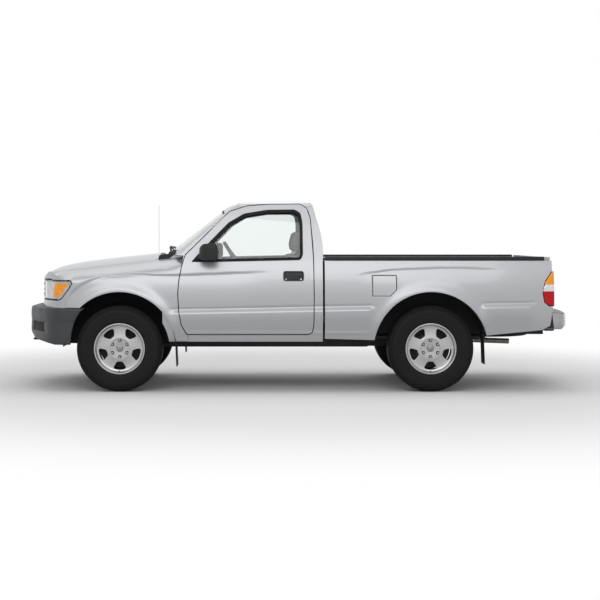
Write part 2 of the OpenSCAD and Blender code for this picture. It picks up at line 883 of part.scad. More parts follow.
/* Running gear */
rail_x0 = x_front + 62;
rail_x1 = bed_rear - 2;
rail_joint = door_x0 - 60;
function rail_side(x0, x1) = let (
    xs = concat([x0], [for (x = [
        front_axle - 407, front_axle - 287, rear_axle - 511,
        rear_axle - 281, rear_axle + 269, rear_axle + 429
    ]) if (x > x0 && x < x1) x], [x1])
) concat(
    [for (x = xs) [x, rail_mid(x) - rail_h / 2]],
    [for (i = [len(xs) - 1:-1:0]) [xs[i], rail_mid(xs[i]) + rail_h / 2]]
);
spare_x = rear_axle + 600;
spare_z = 425;
cross_front = [radiator_x + 22, front_axle + 60];
cross_rear = [
    [door_x0 + 420, frame_z],
    [rear_axle - 320, frame_z + 135],
    [rear_axle + 200, frame_z + 165],
    [bed_rear - 30, frame_z + 125]
];
module chassis_frame() color("black") {
    pair() difference() {
        along_y(rail_front - rail_w, rail_front) polygon(rail_side(rail_x0, rail_joint + 40));
        // The front end stands on the lower lip of the bumper
        difference() {
            along_y(-far, far) polygon(concat(
                bumper_face,
                [[bumper_back + seat, bumper_low], [bumper_back + seat, bumper_top]]
            ));
            along_y(-2 * far, 2 * far) polygon(grow(bumper_profile, -bumper_t - seat));
        }
    }
    pair() {
        along_y(rail_rear - rail_w, rail_rear) polygon(rail_side(rail_joint - 40, rail_x1));
        box(
            [rail_joint - 40, rail_front - rail_w, frame_z],
            [rail_joint + 40, rail_rear, frame_z + rail_h]
        );
        // Post that carries the crossbar over the spare wheel
        box(
            [spare_x - 25, rail_rear - rail_w, rail_mid(spare_x)],
            [spare_x + 25, rail_rear, bed_sill_z + 30]
        );
    }
    for (x = cross_front) {
        low = max(rail_mid(x) - rail_h / 2, frame_z + 20);
        box([x - 35, -rail_front + lap, low], [x + 35, rail_front - lap, engine_z]);
    }
    for (c = cross_rear) {
        box([c.x - 20, -rail_rear + lap, c.y], [c.x + 20, rail_rear - lap, c.y + 40]);
    }
    box(
        [spare_x - 25, -rail_rear + lap, bed_sill_z],
        [spare_x + 25, rail_rear - lap, bed_sill_z + 30]
    );
    // Housing of the steering rack, hung under the front rails
    difference() {
        union() {
            translate([rack_x, rail_front, rack_z]) rotate([90, 0, 0])
                cylinder(h = 2 * rail_front, r = rack_r + 9, $fn = 48);
            pair() box(
                [rack_x - 14, rail_front - rail_w, rack_z],
                [rack_x + 14, rail_front, frame_z + lap]
            );
        }
        translate([rack_x, rail_front + lap, rack_z]) rotate([90, 0, 0])
            cylinder(h = 2 * (rail_front + lap), r = rack_r + seat, $fn = 48);
    }
}

kingpin_r = 20;
kingpin_lo = tyre_r - 125;
kingpin_hi = tyre_r + 120;
arm_t = 30;
module suspension_arm(z) {
    difference() {
        union() {
            translate([front_axle, kingpin_y, z]) cylinder(h = arm_t, r = 36, $fn = 48);
            along_z(z, z + arm_t) polygon([
                [front_axle - 26, kingpin_y],
                [front_axle - 70, rail_front],
                [front_axle + 70, rail_front],
                [front_axle + 26, kingpin_y]
            ]);
        }
        translate([front_axle, kingpin_y, z - lap])
            cylinder(h = arm_t + 2 * lap, r = kingpin_r + seat, $fn = 48);
    }
}
module front_suspension() color("black") {
    pair() {
        suspension_arm(kingpin_lo);
        suspension_arm(kingpin_hi - arm_t);
        // Spring and damper stand on the lower arm, under a tower on the rail
        translate([front_axle, rail_front + 62, kingpin_lo + arm_t - lap])
            cylinder(h = 330, r = 50, $fn = 48);
        box(
            [front_axle - 60, rail_front, kingpin_lo + arm_t + 325],
            [front_axle + 60, rail_front + 122, kingpin_lo + arm_t + 345]
        );
        box(
            [front_axle - 60, rail_front, frame_z + rail_h],
            [front_axle + 60, rail_front + 9, kingpin_lo + arm_t + 345]
        );
    }
}

hub_r = 28;
disc_y = wheel_y + 6;
tie_arm = 100;
tie_z = tyre_r - 60;
module knuckle_right() color("dimgray") {
    translate([front_axle, kingpin_y, kingpin_lo + 2])
        cylinder(h = kingpin_hi - kingpin_lo - 4, r = kingpin_r, $fn = 48);
    box(
        [front_axle - 40, kingpin_y - 20, kingpin_lo + arm_t + 6],
        [front_axle + 40, kingpin_y + 24, kingpin_hi - arm_t - 6]
    );
    box([front_axle, kingpin_y - 16, tie_z - 10], [front_axle + tie_arm + 14, kingpin_y + 16, tie_z + 8]);
    wheel_axis(front_axle, kingpin_y, disc_y - 14, 60);
    wheel_axis(front_axle, kingpin_y, wheel_y + 40, hub_r);
}
module knuckle_left() mirror([0, 1, 0]) knuckle_right();

rack_r = 13;
rack_z = tie_z - 10 - 6 - rack_r;
rack_x = front_axle + tie_arm;
module steering_rack() color("silver") {
    translate([rack_x, kingpin_y - 10, rack_z]) rotate([90, 0, 0])
        cylinder(h = 2 * (kingpin_y - 10), r = rack_r, $fn = 48);
}

axle_tube_r = 40;
drum_r = 130;
module rear_axle() color("black") {
    wheel_axis(rear_axle, -wheel_y + 40, wheel_y - 40, axle_tube_r);
    translate([rear_axle, 0, tyre_r]) sphere(r = 125, $fn = 48);
    pair() {
        wheel_axis(rear_axle, wheel_y - 60, disc_y - 14, drum_r);
        wheel_axis(rear_axle, wheel_y - 40, wheel_y + 40, hub_r);
    }
}

spring_y0 = rail_rear + 22;
spring_w = 60;
spring_len = 620;
spring_sag = 60;
function spring_line(x) = tyre_r + axle_tube_r + spring_sag * pow(x / spring_len, 2);
module leaf_springs() color("black") {
    xs = between(-spring_len, spring_len, 8);
    leaf = concat(
        [for (x = xs) [rear_axle + x, spring_line(x)]],
        [for (i = [8:-1:0]) [rear_axle + xs[i], spring_line(xs[i]) + (i > 1 && i < 7 ? 34 : 14)]]
    );
    pair() {
        along_y(spring_y0, spring_y0 + spring_w) polygon(leaf);
        for (s = [-1, 1]) {
            x = rear_axle + s * (spring_len - 10);
            z = spring_line(spring_len);
            translate([x, spring_y0 + spring_w - 3, z + 10]) rotate([90, 0, 0])
                cylinder(h = spring_w - 6, r = 24, $fn = 32);
            box(
                [x - 18, rail_rear, min(z + 12, rail_mid(x) - 30)],
                [x + 18, spring_y0 + 12, max(z + 12, rail_mid(x) + 30)]
            );
        }
    }
}

module driveline() color("dimgray") {
    gearbox_x = front_axle + 190;
    box([gearbox_x, -130, 400], [gearbox_x + 560, 130, 560]);
    difference() {
        rod([gearbox_x + 550, 0, 470], [rear_axle - 100, 0, tyre_r + 10], 34, $fn = 32);
        translate([rear_axle, 0, tyre_r]) sphere(r = 125 + seat, $fn = 48);
    }
}

module fuel_tank() color("black") {
    x = rear_axle - 900;
    box([x, -rail_rear + rail_w, frame_z], [x + 560, -70, frame_z + 190]);
}

pipe_r = 25;
collar_r = 32;
collar_half = 26;
pipe_y = 0.5 * (spring_y0 + spring_w + wheel_y - tyre_w / 2);
exhaust_path = [
    [front_axle + 170, 170, engine_z - pipe_r - 3 * seat],
    [front_axle + 700, 200, 430],
    [rear_axle - 850, 200, 386],
    [rear_axle - 300, 240, 386],
    [rear_axle - 230, pipe_y, 345],
    [rear_axle - 90, pipe_y, 440],
    [rear_axle + 90, pipe_y, 440],
    [rear_axle + 420, pipe_y, 345],
    [rear_axle + 899, pipe_y, 328]
];
module exhaust() color("dimgray") {
    for (i = [0:len(exhaust_path) - 2]) {
        rod(exhaust_path[i], exhaust_path[i + 1], pipe_r, $fn = 24);
        // A collar covers each bend
        if (i > 0) {
            u = unit(exhaust_path[i + 1] - exhaust_path[i - 1]) * collar_half;
            rod(exhaust_path[i] - u, exhaust_path[i] + u, collar_r, $fn = 28);
        }
    }
    rod([rear_axle - 850, 200, 386], [rear_axle - 400, 210, 386], 48, $fn = 32);
    box([rear_axle - 700, 230, 380], [rear_axle - 670, rail_rear - rail_w, 400]);
    box(
        [rear_axle + 650, rail_rear, rail_mid(rear_axle + 650) - 40],
        [rear_axle + 680, pipe_y + 4, rail_mid(rear_axle + 650) - 20]
    );
    box(
        [rear_axle + 650, pipe_y - 4, 340],
        [rear_axle + 680, pipe_y + 4, rail_mid(rear_axle + 650) - 20]
    );
}

module spare_wheel() color("dimgray") {
    translate([spare_x, 0, spare_z]) {
        rotate_extrude($fn = 96) polygon(tyre_profile());
        translate([0, 0, 40]) cylinder(h = 140, r = rim_r - 12 - seat, $fn = 96);
        cylinder(h = bed_sill_z - spare_z, r = 14, $fn = 32);
    }
}

/* Wheels */
bead_r = rim_r - 12;
function tyre_profile() = let (w = tyre_w)
    concat(
        [[bead_r, 18], [rim_r + 26, 4], [rim_r + 60, 0], [tyre_r - 42, 4]],
        arc([tyre_r - 24, 30], 24, 270, 360, 4),
        arc([tyre_r - 24, w - 30], 24, 0, 90, 4),
        [[tyre_r - 42, w - 4], [rim_r + 60, w], [rim_r + 26, w - 4], [bead_r, w - 18]]
    );
module tyre(x) color("dimgray") {
    translate([x, wheel_y + tyre_w / 2, tyre_r]) rotate([90, 0, 0])
        rotate_extrude($fn = 96) polygon(tyre_profile());
}
rim_w = tyre_w - 36;
rim_depth = 34;
window_count = 5;
module rim(x) color("silver") {
    translate([x, wheel_y, tyre_r]) rotate([-90, 0, 0]) difference() {
        union() {
            difference() {
                translate([0, 0, -rim_w / 2]) cylinder(h = rim_w, r = bead_r - seat, $fn = 96);
                translate([0, 0, -rim_w / 2 - lap]) cylinder(h = rim_w + 2 * lap, r = bead_r - 14, $fn = 96);
            }
            translate([0, 0, rim_w / 2 - rim_depth - 30]) cylinder(h = 30, r = bead_r - 10, $fn = 96);
            translate([0, 0, 8]) cylinder(h = 60, r = 82, $fn = 48);
        }
        for (i = [0:window_count - 1]) rotate([0, 0, 90 + i * 360 / window_count])
            translate([144, 0, 0]) cylinder(h = 200, r = 32, $fn = 32);
        cylinder(h = 40 + seat, r = hub_r + seat, $fn = 96);
    }
}
module rim_front_right() rim(front_axle);
module rim_front_left() mirror([0, 1, 0]) rim(front_axle);
module rim_rear_right() rim(rear_axle);
module rim_rear_left() mirror([0, 1, 0]) rim(rear_axle);
module tyre_front_right() tyre(front_axle);
module tyre_front_left() mirror([0, 1, 0]) tyre(front_axle);
module tyre_rear_right() tyre(rear_axle);
module tyre_rear_left() mirror([0, 1, 0]) tyre(rear_axle);

/* Rear bumper, flaps and antenna */
step_top = gate_bottom - 20;
function step_profile() = [
    [bed_rear + 8, 525],
    [x_rear - 53, 525],
    [x_rear - 18, 540],
    [x_rear, 575],
    [x_rear, step_top - 22],
    [x_rear - 20, step_top],
    [bed_rear + 8, step_top]
];
step_r = 4420;
function step_plan(t) = let (half = half_w - 22 - t) both_sides_x(concat(
    [[bed_rear + 8, half]],
    [for (y = between(half, 0, 6)) [x_rear - t - pow(y, 2) / (2 * step_r), y]]
));
function both_sides_x(r) = concat(
    [for (i = [len(r) - 1:-1:0]) r[i]],
    [for (i = [1:len(r) - 1]) [r[i].x, -r[i].y]]
);
ball_x = x_rear - 75;
module rear_bumper() color("lightgray") {
    difference() {
        intersection() {
            along_y(-far, far) polygon(step_profile());
            along_z(0, far) polygon(step_plan(0));
        }
        intersection() {
            along_y(-far, far) polygon(concat(
                [[bed_rear - 20, 520 + step_t]],
                [for (i = [1:5]) grow(step_profile(), -step_t)[i]],
                [[bed_rear - 20, step_top - step_t]]
            ));
            along_z(0, far) polygon(step_plan(step_t));
        }
        translate([ball_x, 0, 500]) cylinder(h = 300, r = ball_hole_r, $fn = 64);
    }
    pair() box(
        [rail_x1, rail_rear - rail_w, 532],
        [x_rear - 60, rail_rear, 560]
    );
}

flap_t = 8;
module mud_flaps() color("black") {
    pair() {
        along_y(half_w - 205, half_w - 10) polygon([
            [front_axle + 480, 215],
            [front_axle + 480 + flap_t, 215],
            [front_axle + 470 + flap_t, sill_z - seat],
            [front_axle + 470, sill_z - seat]
        ]);
        // The rear flap ends against the inside of the bed's side
        along_y(half_w - 205, side_y(tyre_r + 172) - bed_skin - seat) polygon([
            [rear_axle + 450, 231],
            [rear_axle + 450 + flap_t, 231],
            [rear_axle + 438 + flap_t, 600],
            [rear_axle + 438, 600]
        ]);
    }
}

antenna_x = front_axle + 225;
antenna_y = hood_half + 35;
module antenna() color("black") {
    base = belt_z + 5;
    difference() {
        translate([antenna_x, antenna_y, base - 30]) cylinder(h = 34, r = 12, $fn = 32);
        front_outer(-seat);
    }
    translate([antenna_x, antenna_y, base]) cylinder(h = roof_z - base - 25, r = 3, $fn = 16);
}

chassis_frame();
front_suspension();
steering_rack();
knuckle_left();
knuckle_right();
rear_axle();
leaf_springs();
driveline();
engine_block();
radiator();
fuel_tank();
exhaust();
spare_wheel();
cab_shell();
cab_floor();
dashboard();
steering_wheel();
bench_seat();
windshield();
rear_window();
cowl_panel();
fender_left();
fender_right();
hood();
grille();
headlamps();
front_bumper();
door_left();
door_right();
door_glass_left();
door_glass_right();
mirror_left();
mirror_right();
bed_floor();
bed_side_left();
bed_side_right();
bed_rail_caps();
fuel_door();
tailgate();
tail_lamps();
rear_bumper();
mud_flaps();
antenna();
rim_front_left();
rim_front_right();
rim_rear_left();
rim_rear_right();
tyre_front_left();
tyre_front_right();
tyre_rear_left();
tyre_rear_right();
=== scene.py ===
import math

import bmesh
import bpy
from mathutils import Matrix, Vector


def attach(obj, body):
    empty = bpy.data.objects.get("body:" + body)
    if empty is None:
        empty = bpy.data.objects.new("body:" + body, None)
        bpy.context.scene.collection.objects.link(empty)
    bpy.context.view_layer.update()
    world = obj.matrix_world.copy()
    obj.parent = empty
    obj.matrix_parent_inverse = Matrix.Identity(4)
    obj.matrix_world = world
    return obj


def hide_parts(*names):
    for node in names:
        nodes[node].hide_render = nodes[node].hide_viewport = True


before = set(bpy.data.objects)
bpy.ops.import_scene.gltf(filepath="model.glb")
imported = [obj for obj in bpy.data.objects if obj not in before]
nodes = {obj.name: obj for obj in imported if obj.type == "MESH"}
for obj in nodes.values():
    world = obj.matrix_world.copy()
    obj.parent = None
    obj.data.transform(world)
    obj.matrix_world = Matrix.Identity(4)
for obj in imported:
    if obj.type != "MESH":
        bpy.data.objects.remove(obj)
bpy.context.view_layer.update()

# Camera: level, square to the truck's left side and a little ahead of its middle,
# with a long lens so that the wheels stay nearly round.
camera = bpy.data.objects.new("Camera", bpy.data.cameras.new("Camera"))
bpy.context.scene.collection.objects.link(camera)
camera.location = (-0.317, -12.7, 1.296)
camera.rotation_euler = (math.radians(90), 0, 0)
camera.data.sensor_width = 36
camera.data.lens = 84.66
camera.data.shift_x = 0.0683
camera.data.shift_y = -0.1033
camera.data.clip_end = 200
bpy.context.scene.camera = camera
bpy.context.scene.view_settings.view_transform = "Standard"

# Studio: a pale matt floor, a white surround, one wide soft lamp overhead and
# two fills, so that the silver shows its shape without hard glints. Away from
# the truck the floor turns into the same plain white as the surround.
floor_half, floor_fades_from, floor_gone_at = 60, 2.6, 5.5
floor_bm = bmesh.new()
bmesh.ops.create_grid(floor_bm, x_segments=1, y_segments=1, size=floor_half)
floor_mesh = bpy.data.meshes.new("floor")
floor_bm.to_mesh(floor_mesh)
floor_bm.free()
floor = bpy.data.objects.new("floor", floor_mesh)
bpy.context.scene.collection.objects.link(floor)


def feed(tree, node, inputs):
    """Gives each input of a node a value, or the socket that feeds it."""
    for label, value in inputs.items():
        if isinstance(value, bpy.types.NodeSocket):
            tree.links.new(value, node.inputs[label])
        else:
            node.inputs[label].default_value = value
    return node


def wired(tree, kind, inputs, **settings):
    """Adds a shader node with its settings and inputs."""
    node = tree.nodes.new("ShaderNode" + kind)
    for label, value in settings.items():
        setattr(node, label, value)
    return feed(tree, node, inputs)


def surface_point(tree):
    return wired(tree, "TexCoord", {}).outputs["Object"]


def blank_material(name):
    material = bpy.data.materials.new(name)
    material.use_nodes = True
    return material, material.node_tree, material.node_tree.nodes["Principled BSDF"]


def shown_as(tree, fac, first, second):
    """Ends a material with a mix of two shaders."""
    mix = wired(tree, "MixShader", {"Fac": fac, 1: first.outputs[0], 2: second.outputs[0]})
    feed(tree, tree.nodes["Material Output"], {"Surface": mix.outputs[0]})


floor_paint, tree, shader = blank_material("studio_floor")
floor_mesh.materials.append(floor_paint)
feed(tree, shader, {"Base Color": (0.86, 0.86, 0.86, 1), "Roughness": 0.9})
reach = wired(tree, "VectorMath", {0: surface_point(tree)}, operation="LENGTH")
fade = wired(
    tree, "MapRange",
    {"Value": reach.outputs["Value"], "From Min": floor_fades_from, "From Max": floor_gone_at},
    interpolation_type="SMOOTHSTEP",
)
shown_as(tree, fade.outputs[0], shader, wired(tree, "Emission", {"Strength": 1.0}))

world = bpy.data.worlds.new("studio")
bpy.context.scene.world = world
world.use_nodes = True
sky = world.node_tree
ray = wired(sky, "LightPath", {}).outputs
seen = wired(sky, "Math", {0: ray["Is Camera Ray"], 1: ray["Is Transmission Ray"]}, operation="MAXIMUM")
mirrored = wired(sky, "Math", {0: seen.outputs[0], 1: ray["Is Glossy Ray"]}, operation="MAXIMUM")
strength = wired(sky, "MapRange", {"Value": mirrored.outputs[0], "To Min": 0.5, "To Max": 1.0})
feed(sky, sky.nodes["Background"], {"Color": (1, 1, 1, 1), "Strength": strength.outputs[0]})


def soft_lamp(name, place, aim, size, watts):
    lamp = bpy.data.objects.new(name, bpy.data.lights.new(name, "AREA"))
    lamp.data.shape = "RECTANGLE"
    lamp.data.size, lamp.data.size_y = size
    lamp.data.energy = watts
    lamp.location = place
    lamp.rotation_euler = (Vector(aim) - Vector(place)).to_track_quat("-Z", "Y").to_euler()
    bpy.context.scene.collection.objects.link(lamp)


soft_lamp("lamp_top", (0, 0, 6.5), (0, 0, 0), (8, 5), 130)
soft_lamp("lamp_left", (-1, -7, 4.5), (0, 0, 0.7), (8, 3), 150)
soft_lamp("lamp_right", (2, 7, 5), (0, 0, 0.6), (6, 3), 60)

# Skin of the body: pressed steel panels in silver metallic paint, and a black
# plastic cowl. Each panel is cut into a fine grid, and the creases and wheel
# flares are pressed into it.


def effect_group(name, inputs, outputs):
    """A shader node group, its inputs inside it and its output node."""
    group = bpy.data.node_groups.new(name, "ShaderNodeTree")
    for label, kind, value in inputs:
        socket = group.interface.new_socket(label, in_out="INPUT", socket_type=f"NodeSocket{kind}")
        socket.default_value = value
    for label, kind in outputs:
        group.interface.new_socket(label, in_out="OUTPUT", socket_type=f"NodeSocket{kind}")
    return group, group.nodes.new("NodeGroupInput").outputs, group.nodes.new("NodeGroupOutput")


def times(tree, a, b):
    return wired(tree, "Math", {0: a, 1: b}, operation="MULTIPLY").outputs[0]


def blended(tree, amount, a, b):
    return wired(tree, "Mix", {"Factor": amount, 6: a, 7: b}, data_type="RGBA").outputs[2]


def soiled_group():
    """Uneven tone, under a film of road dust that thickens towards the ground."""
    group, given, end = effect_group(
        "soiled_surface",
        [
            ("Color", "Color", (0.5, 0.5, 0.5, 1)), ("Roughness", "Float", 0.5),
            ("Scale", "Float", 6.0), ("Variation", "Float", 0.08), ("Dust", "Float", 0.1),
        ],
        [("Color", "Color"), ("Roughness", "Float")],
    )
    place = surface_point(group)
    noise = wired(group, "TexNoise", {"Vector": place, "Scale": given["Scale"], "Detail": 6})
    spread = wired(group, "MapRange", {"Value": noise.outputs["Fac"], "From Min": 0.3, "From Max": 0.7}).outputs[0]
    darker = wired(group, "HueSaturation", {"Color": given["Color"], "Value": 0.55}).outputs["Color"]
    toned = blended(group, times(group, spread, given["Variation"]), given["Color"], darker)
    height = wired(group, "SeparateXYZ", {0: place}).outputs["Z"]
    low = wired(group, "MapRange", {"Value": height, "From Min": 0.75, "From Max": 0.1}).outputs[0]
    dust = times(group, times(group, low, spread), given["Dust"])
    dull = wired(group, "Math", {0: spread, 1: 0.12, 2: given["Roughness"]}, operation="MULTIPLY_ADD")
    dusted = blended(group, dust, toned, (0.3, 0.27, 0.23, 1))
    feed(group, end, {"Color": dusted, "Roughness": dull.outputs[0]})
    return group


def grain_group():
    """A fine grain that lifts the surface."""
    group, given, end = effect_group(
        "fine_grain", [("Scale", "Float", 400.0), ("Depth", "Float", 0.0002)], [("Normal", "Vector")],
    )
    noise = wired(group, "TexNoise", {"Vector": surface_point(group), "Scale": given["Scale"], "Detail": 3})
    height = times(group, noise.outputs["Fac"], given["Depth"])
    bump = wired(group, "Bump", {"Height": height, "Distance": 1.0})
    feed(group, end, {"Normal": bump.outputs["Normal"]})
    return group


soiled, grain = soiled_group(), grain_group()


def finish_of(name, color, rough, metal, tone, bumps, coat=0.0, specular=0.5):
    """A material: tone is (scale, variation, dust), bumps is (scale, depth in metres)."""
    material, tree, shader = blank_material(name)
    surface = {"Color": (*color, 1), "Roughness": rough, **dict(zip(("Scale", "Variation", "Dust"), tone))}
    dirt = wired(tree, "Group", surface, node_tree=soiled).outputs
    lift = wired(tree, "Group", {"Scale": bumps[0], "Depth": bumps[1]}, node_tree=grain).outputs
    feed(tree, shader, {
        "Metallic": metal, "Specular IOR Level": specular, "Coat Weight": coat, "Coat Roughness": 0.04,
        "Base Color": dirt["Color"], "Roughness": dirt["Roughness"], "Normal": lift["Normal"],
    })
    return material


silver_paint = finish_of("silver_paint", (0.4, 0.405, 0.42), 0.3, 0.62, (900, 0.16, 0.1), (700, 0.00002), 0.5)
black_plastic = finish_of(
    "black_plastic", (0.011, 0.011, 0.012), 0.34, 0, (14, 0.3, 0.03), (900, 0.00012), 0.0, 0.32,
)
trim_plastic = finish_of("interior_plastic", (0.085, 0.095, 0.098), 0.62, 0, (9, 0.15, 0.05), (600, 0.0002))

sides = ((-1, "left"), (1, "right"))
half_width, bulge_radius, widest, belt = 0.845, 1.272, 0.735, 1.105
lean = 0.33
front_axle, rear_axle, axle_height = -1.493, 1.131, 0.363


def body_side(z):
    """Half width of the plain body side at height z."""
    height = min(z, belt)
    y = half_width - bulge_radius + math.sqrt(bulge_radius**2 - (height - widest) ** 2)
    return y - max(0.0, z - belt) * lean


def ease(x, start, end):
    t = max(0.0, min(1.0, (x - start) / (end - start)))
    return t * t * (3 - 2 * t)


def line_height(points, x):
    """Height of a smooth line through points at x."""
    if x <= points[0][0] or x >= points[-1][0]:
        return points[0][1] if x <= points[0][0] else points[-1][1]
    i = max(k for k in range(len(points) - 1) if points[k][0] <= x)
    a, b = points[i], points[i + 1]
    before, after = points[max(0, i - 1)], points[min(len(points) - 1, i + 2)]
    t, w = (x - a[0]) / (b[0] - a[0]), b[0] - a[0]
    slope_a = (b[1] - before[1]) / (b[0] - before[0]) * w
    slope_b = (after[1] - a[1]) / (after[0] - a[0]) * w
    return (
        (2 * t**3 - 3 * t**2 + 1) * a[1]
        + (t**3 - 2 * t**2 + t) * slope_a
        + (3 * t**2 - 2 * t**3) * b[1]
        + (t**3 - t**2) * slope_b
    )


belt_crease = [
    (-2.01, 0.69), (-1.984, 0.729), (-1.922, 0.825), (-1.825, 0.902), (-1.7, 0.96),
    (-1.555, 0.99), (-1.361, 0.999), (-1.168, 0.99), (-0.985, 0.99), (-0.428, 1.011), (-0.15, 1.024),
]
bed_crease = [(0.47, 0.984), (0.744, 1.026), (1.147, 1.047), (1.468, 1.047), (1.8, 1.031)]


def undercut(drop, depth, width, fade):
    """A sharp fold that turns under by depth and comes back over fade."""
    if drop <= 0:
        return 0.0
    return -depth * (1 - math.exp(-((drop / width) ** 2))) * math.exp(-drop / fade)


def pressing(x, z):
    """How far the pressed shapes stand out from the plain body side."""
    out = 0.0
    for axle in (front_axle, rear_axle):
        r = math.hypot(x - axle, z - axle_height)
        if r < 0.75:
            swell = 0.02 if axle == front_axle else 0.015
            out += swell * math.exp(-((max(0, r - 0.484) / 0.052) ** 2)) * ease(z, 0.34, 0.62)
    if x < -0.15:
        shown = 1 - ease(x, -0.6, -0.17)
        out += shown * undercut(line_height(belt_crease, x) - z, 0.012, 0.006, 0.09)
    if 0.47 < x < 1.8:
        shown = ease(x, 0.47, 0.72) * (1 - ease(x, 1.45, 1.8))
        out += shown * undercut(line_height(bed_crease, x) - z, 0.008, 0.006, 0.07)
    fold = 0.697 + 0.0188 * (x + 1.043)
    shown = ease(x, -1.09, -0.99) * (1 - ease(x, 0.6, 0.68)) + ease(x, 1.535, 1.6) * (1 - ease(x, 1.96, 2.03))
    ledge = ease(fold - z, 0.006, 0.044) * (1 - 0.75 * ease(fold - z, 0.06, 0.24))
    out += shown * (0.018 * ledge - 0.0055 * math.exp(-(((z - fold) / 0.008) ** 2)))
    out += 0.004 * math.exp(-(((z - 0.497) / 0.012) ** 2)) * ease(x, -1.0, -0.9) * (1 - ease(x, 0.5, 0.7))
    return out


def cad_copy(node, flat=0.4):
    """A welded copy of a CAD node, with its flat faces joined up."""
    bm = bmesh.new()
    bm.from_mesh(nodes[node].data)
    bmesh.ops.remove_doubles(bm, verts=bm.verts[:], dist=2e-5)
    bmesh.ops.dissolve_limit(
        bm, angle_limit=math.radians(flat), use_dissolve_boundaries=False,
        verts=bm.verts[:], edges=bm.edges[:], delimit=set(),
    )
    return bm


def cut_across(bm, place, across, reach=4e-4):
    geometry = bm.verts[:] + bm.edges[:] + bm.faces[:]
    bmesh.ops.bisect_plane(bm, geom=geometry, dist=reach, plane_co=place, plane_no=across)


def grid_cut(bm, steps):
    """Cuts the mesh by evenly spaced planes across each axis that has a step."""
    for axis, step in enumerate(steps):
        if not step:
            continue
        low = min(v.co[axis] for v in bm.verts)
        high = max(v.co[axis] for v in bm.verts)
        across = Vector([float(k == axis) for k in range(3)])
        count = max(1, round((high - low) / step))
        for k in range(1, count):
            cut_across(bm, across * (low + (high - low) * k / count), across)


def relax(bm, rounds, keep, above=-1.0):
    """Evens out soft folds above a height and leaves edges sharper than keep degrees."""
    limit = math.radians(keep)
    hard = set()
    for e in bm.edges:
        if len(e.link_faces) != 2 or e.calc_face_angle(0) > limit:
            hard.update(e.verts)
    soft = [v for v in bm.verts if v not in hard and v.co.z > above]
    for _ in range(rounds):
        bmesh.ops.smooth_vert(bm, verts=soft, factor=0.5, use_axis_x=True, use_axis_y=True, use_axis_z=True)


def cad_grid(node, steps, rounds=0, keep=24):
    """A copy of a CAD node, cut into a grid and with its soft folds evened out."""
    bm = cad_copy(node)
    grid_cut(bm, steps)
    relax(bm, rounds, keep)
    return bm


on_skin = 0.0017


def press_side(bm):
    for v in bm.verts:
        base = body_side(v.co.z)
        if abs(abs(v.co.y) - base) < on_skin:
            v.co.y = math.copysign(base + pressing(v.co.x, v.co.z), v.co.y)


def press_fender(bm, side):
    """Presses the creases into the fender's outer side, whose top rolls inward."""
    bm.normal_update()
    facing = {v: v.normal.y * side for v in bm.verts}
    for v in bm.verts:
        if facing[v] > 0.1 and body_side(v.co.z) - abs(v.co.y) < 0.08:
            shown = ease(facing[v], 0.1, 0.5) * ease(v.co.x, -1.965, -1.88)
            v.co.y += side * shown * pressing(v.co.x, v.co.z)


def sweep_nose(bm, amount=0.105, start=0.0):
    """Draws the corners of the front back, in the same way on all its parts."""
    for v in bm.verts:
        reach = max(0.0, abs(v.co.y) - start)
        v.co.x += amount * reach**2 * (1 - ease(v.co.x, -2.22, -1.8))


def made(bm, name, body, materials, stands_for=(), crease=32):
    """Turns a bmesh into a piece that rides on a body."""
    mesh = bpy.data.meshes.new(name)
    bm.to_mesh(mesh)
    bm.free()
    mesh.polygons.foreach_set("use_smooth", [True] * len(mesh.polygons))
    mesh.set_sharp_from_angle(angle=math.radians(crease))
    piece = bpy.data.objects.new(name, mesh)
    bpy.context.scene.collection.objects.link(piece)
    for m in materials:
        mesh.materials.append(m)
    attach(piece, body)
    if stands_for:
        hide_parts(*stands_for)
    return piece


def door_lining(f, side):
    """Whether a face is on the inside of a door or its window frame."""
    c = f.calc_center_median()
    if abs(c.y) < body_side(c.z) - 0.013 and f.normal.y * side < -0.2:
        return True
    return f.normal.y * side < 0.3 and -0.8 < c.x < 0.066 and 1.09 < c.z < 1.545


for side, hand in sides:
    skin = cad_grid(f"fender_{hand}", (0.013, 0, 0.009), 110, 62)
    press_fender(skin, side)
    sweep_nose(skin)
    made(skin, f"fender_skin_{hand}", "root", [silver_paint], [f"fender_{hand}"])

    skin = cad_grid(f"bed_side_{hand}", (0.014, 0, 0.009))
    press_side(skin)
    made(skin, f"bed_skin_{hand}", "root", [silver_paint], [f"bed_side_{hand}"])

    skin = cad_grid(f"door_{hand}", (0.014, 0, 0.009))
    for f in skin.faces:
        f.material_index = int(door_lining(f, side))
    press_side(skin)
    made(skin, f"door_skin_{hand}", f"door_{hand}", [silver_paint, trim_plastic], [f"door_{hand}"])

skin = cad_grid("cab_shell", (0.02, 0.04, 0.012), 6, 18)
relax(skin, 40, 40, 1.14)


def in_cabin(f):
    c = f.calc_center_median()
    depth = body_side(c.z) - abs(c.y)
    towards = f.normal.dot(Vector((-0.45, 0, 1.0)) - c)
    return towards > 0 and depth > (0.085 if c.z < belt else 0.035) and c.x > -1.1


for f in skin.faces:
    f.material_index = int(in_cabin(f))
press_side(skin)
for v in skin.verts:
    if v.co.x > 0.08 and v.co.z > 1.12:
        bulge = math.sin(math.pi * min(1, max(0, (v.co.z - 1.12) / 0.47))) ** 0.8
        v.co.x += 0.026 * bulge * ease(abs(v.co.y), 0.565, 0.66) * ease(v.co.x, 0.125, 0.205)
made(skin, "cab_skin", "root", [silver_paint, trim_plastic], ["cab_shell"])

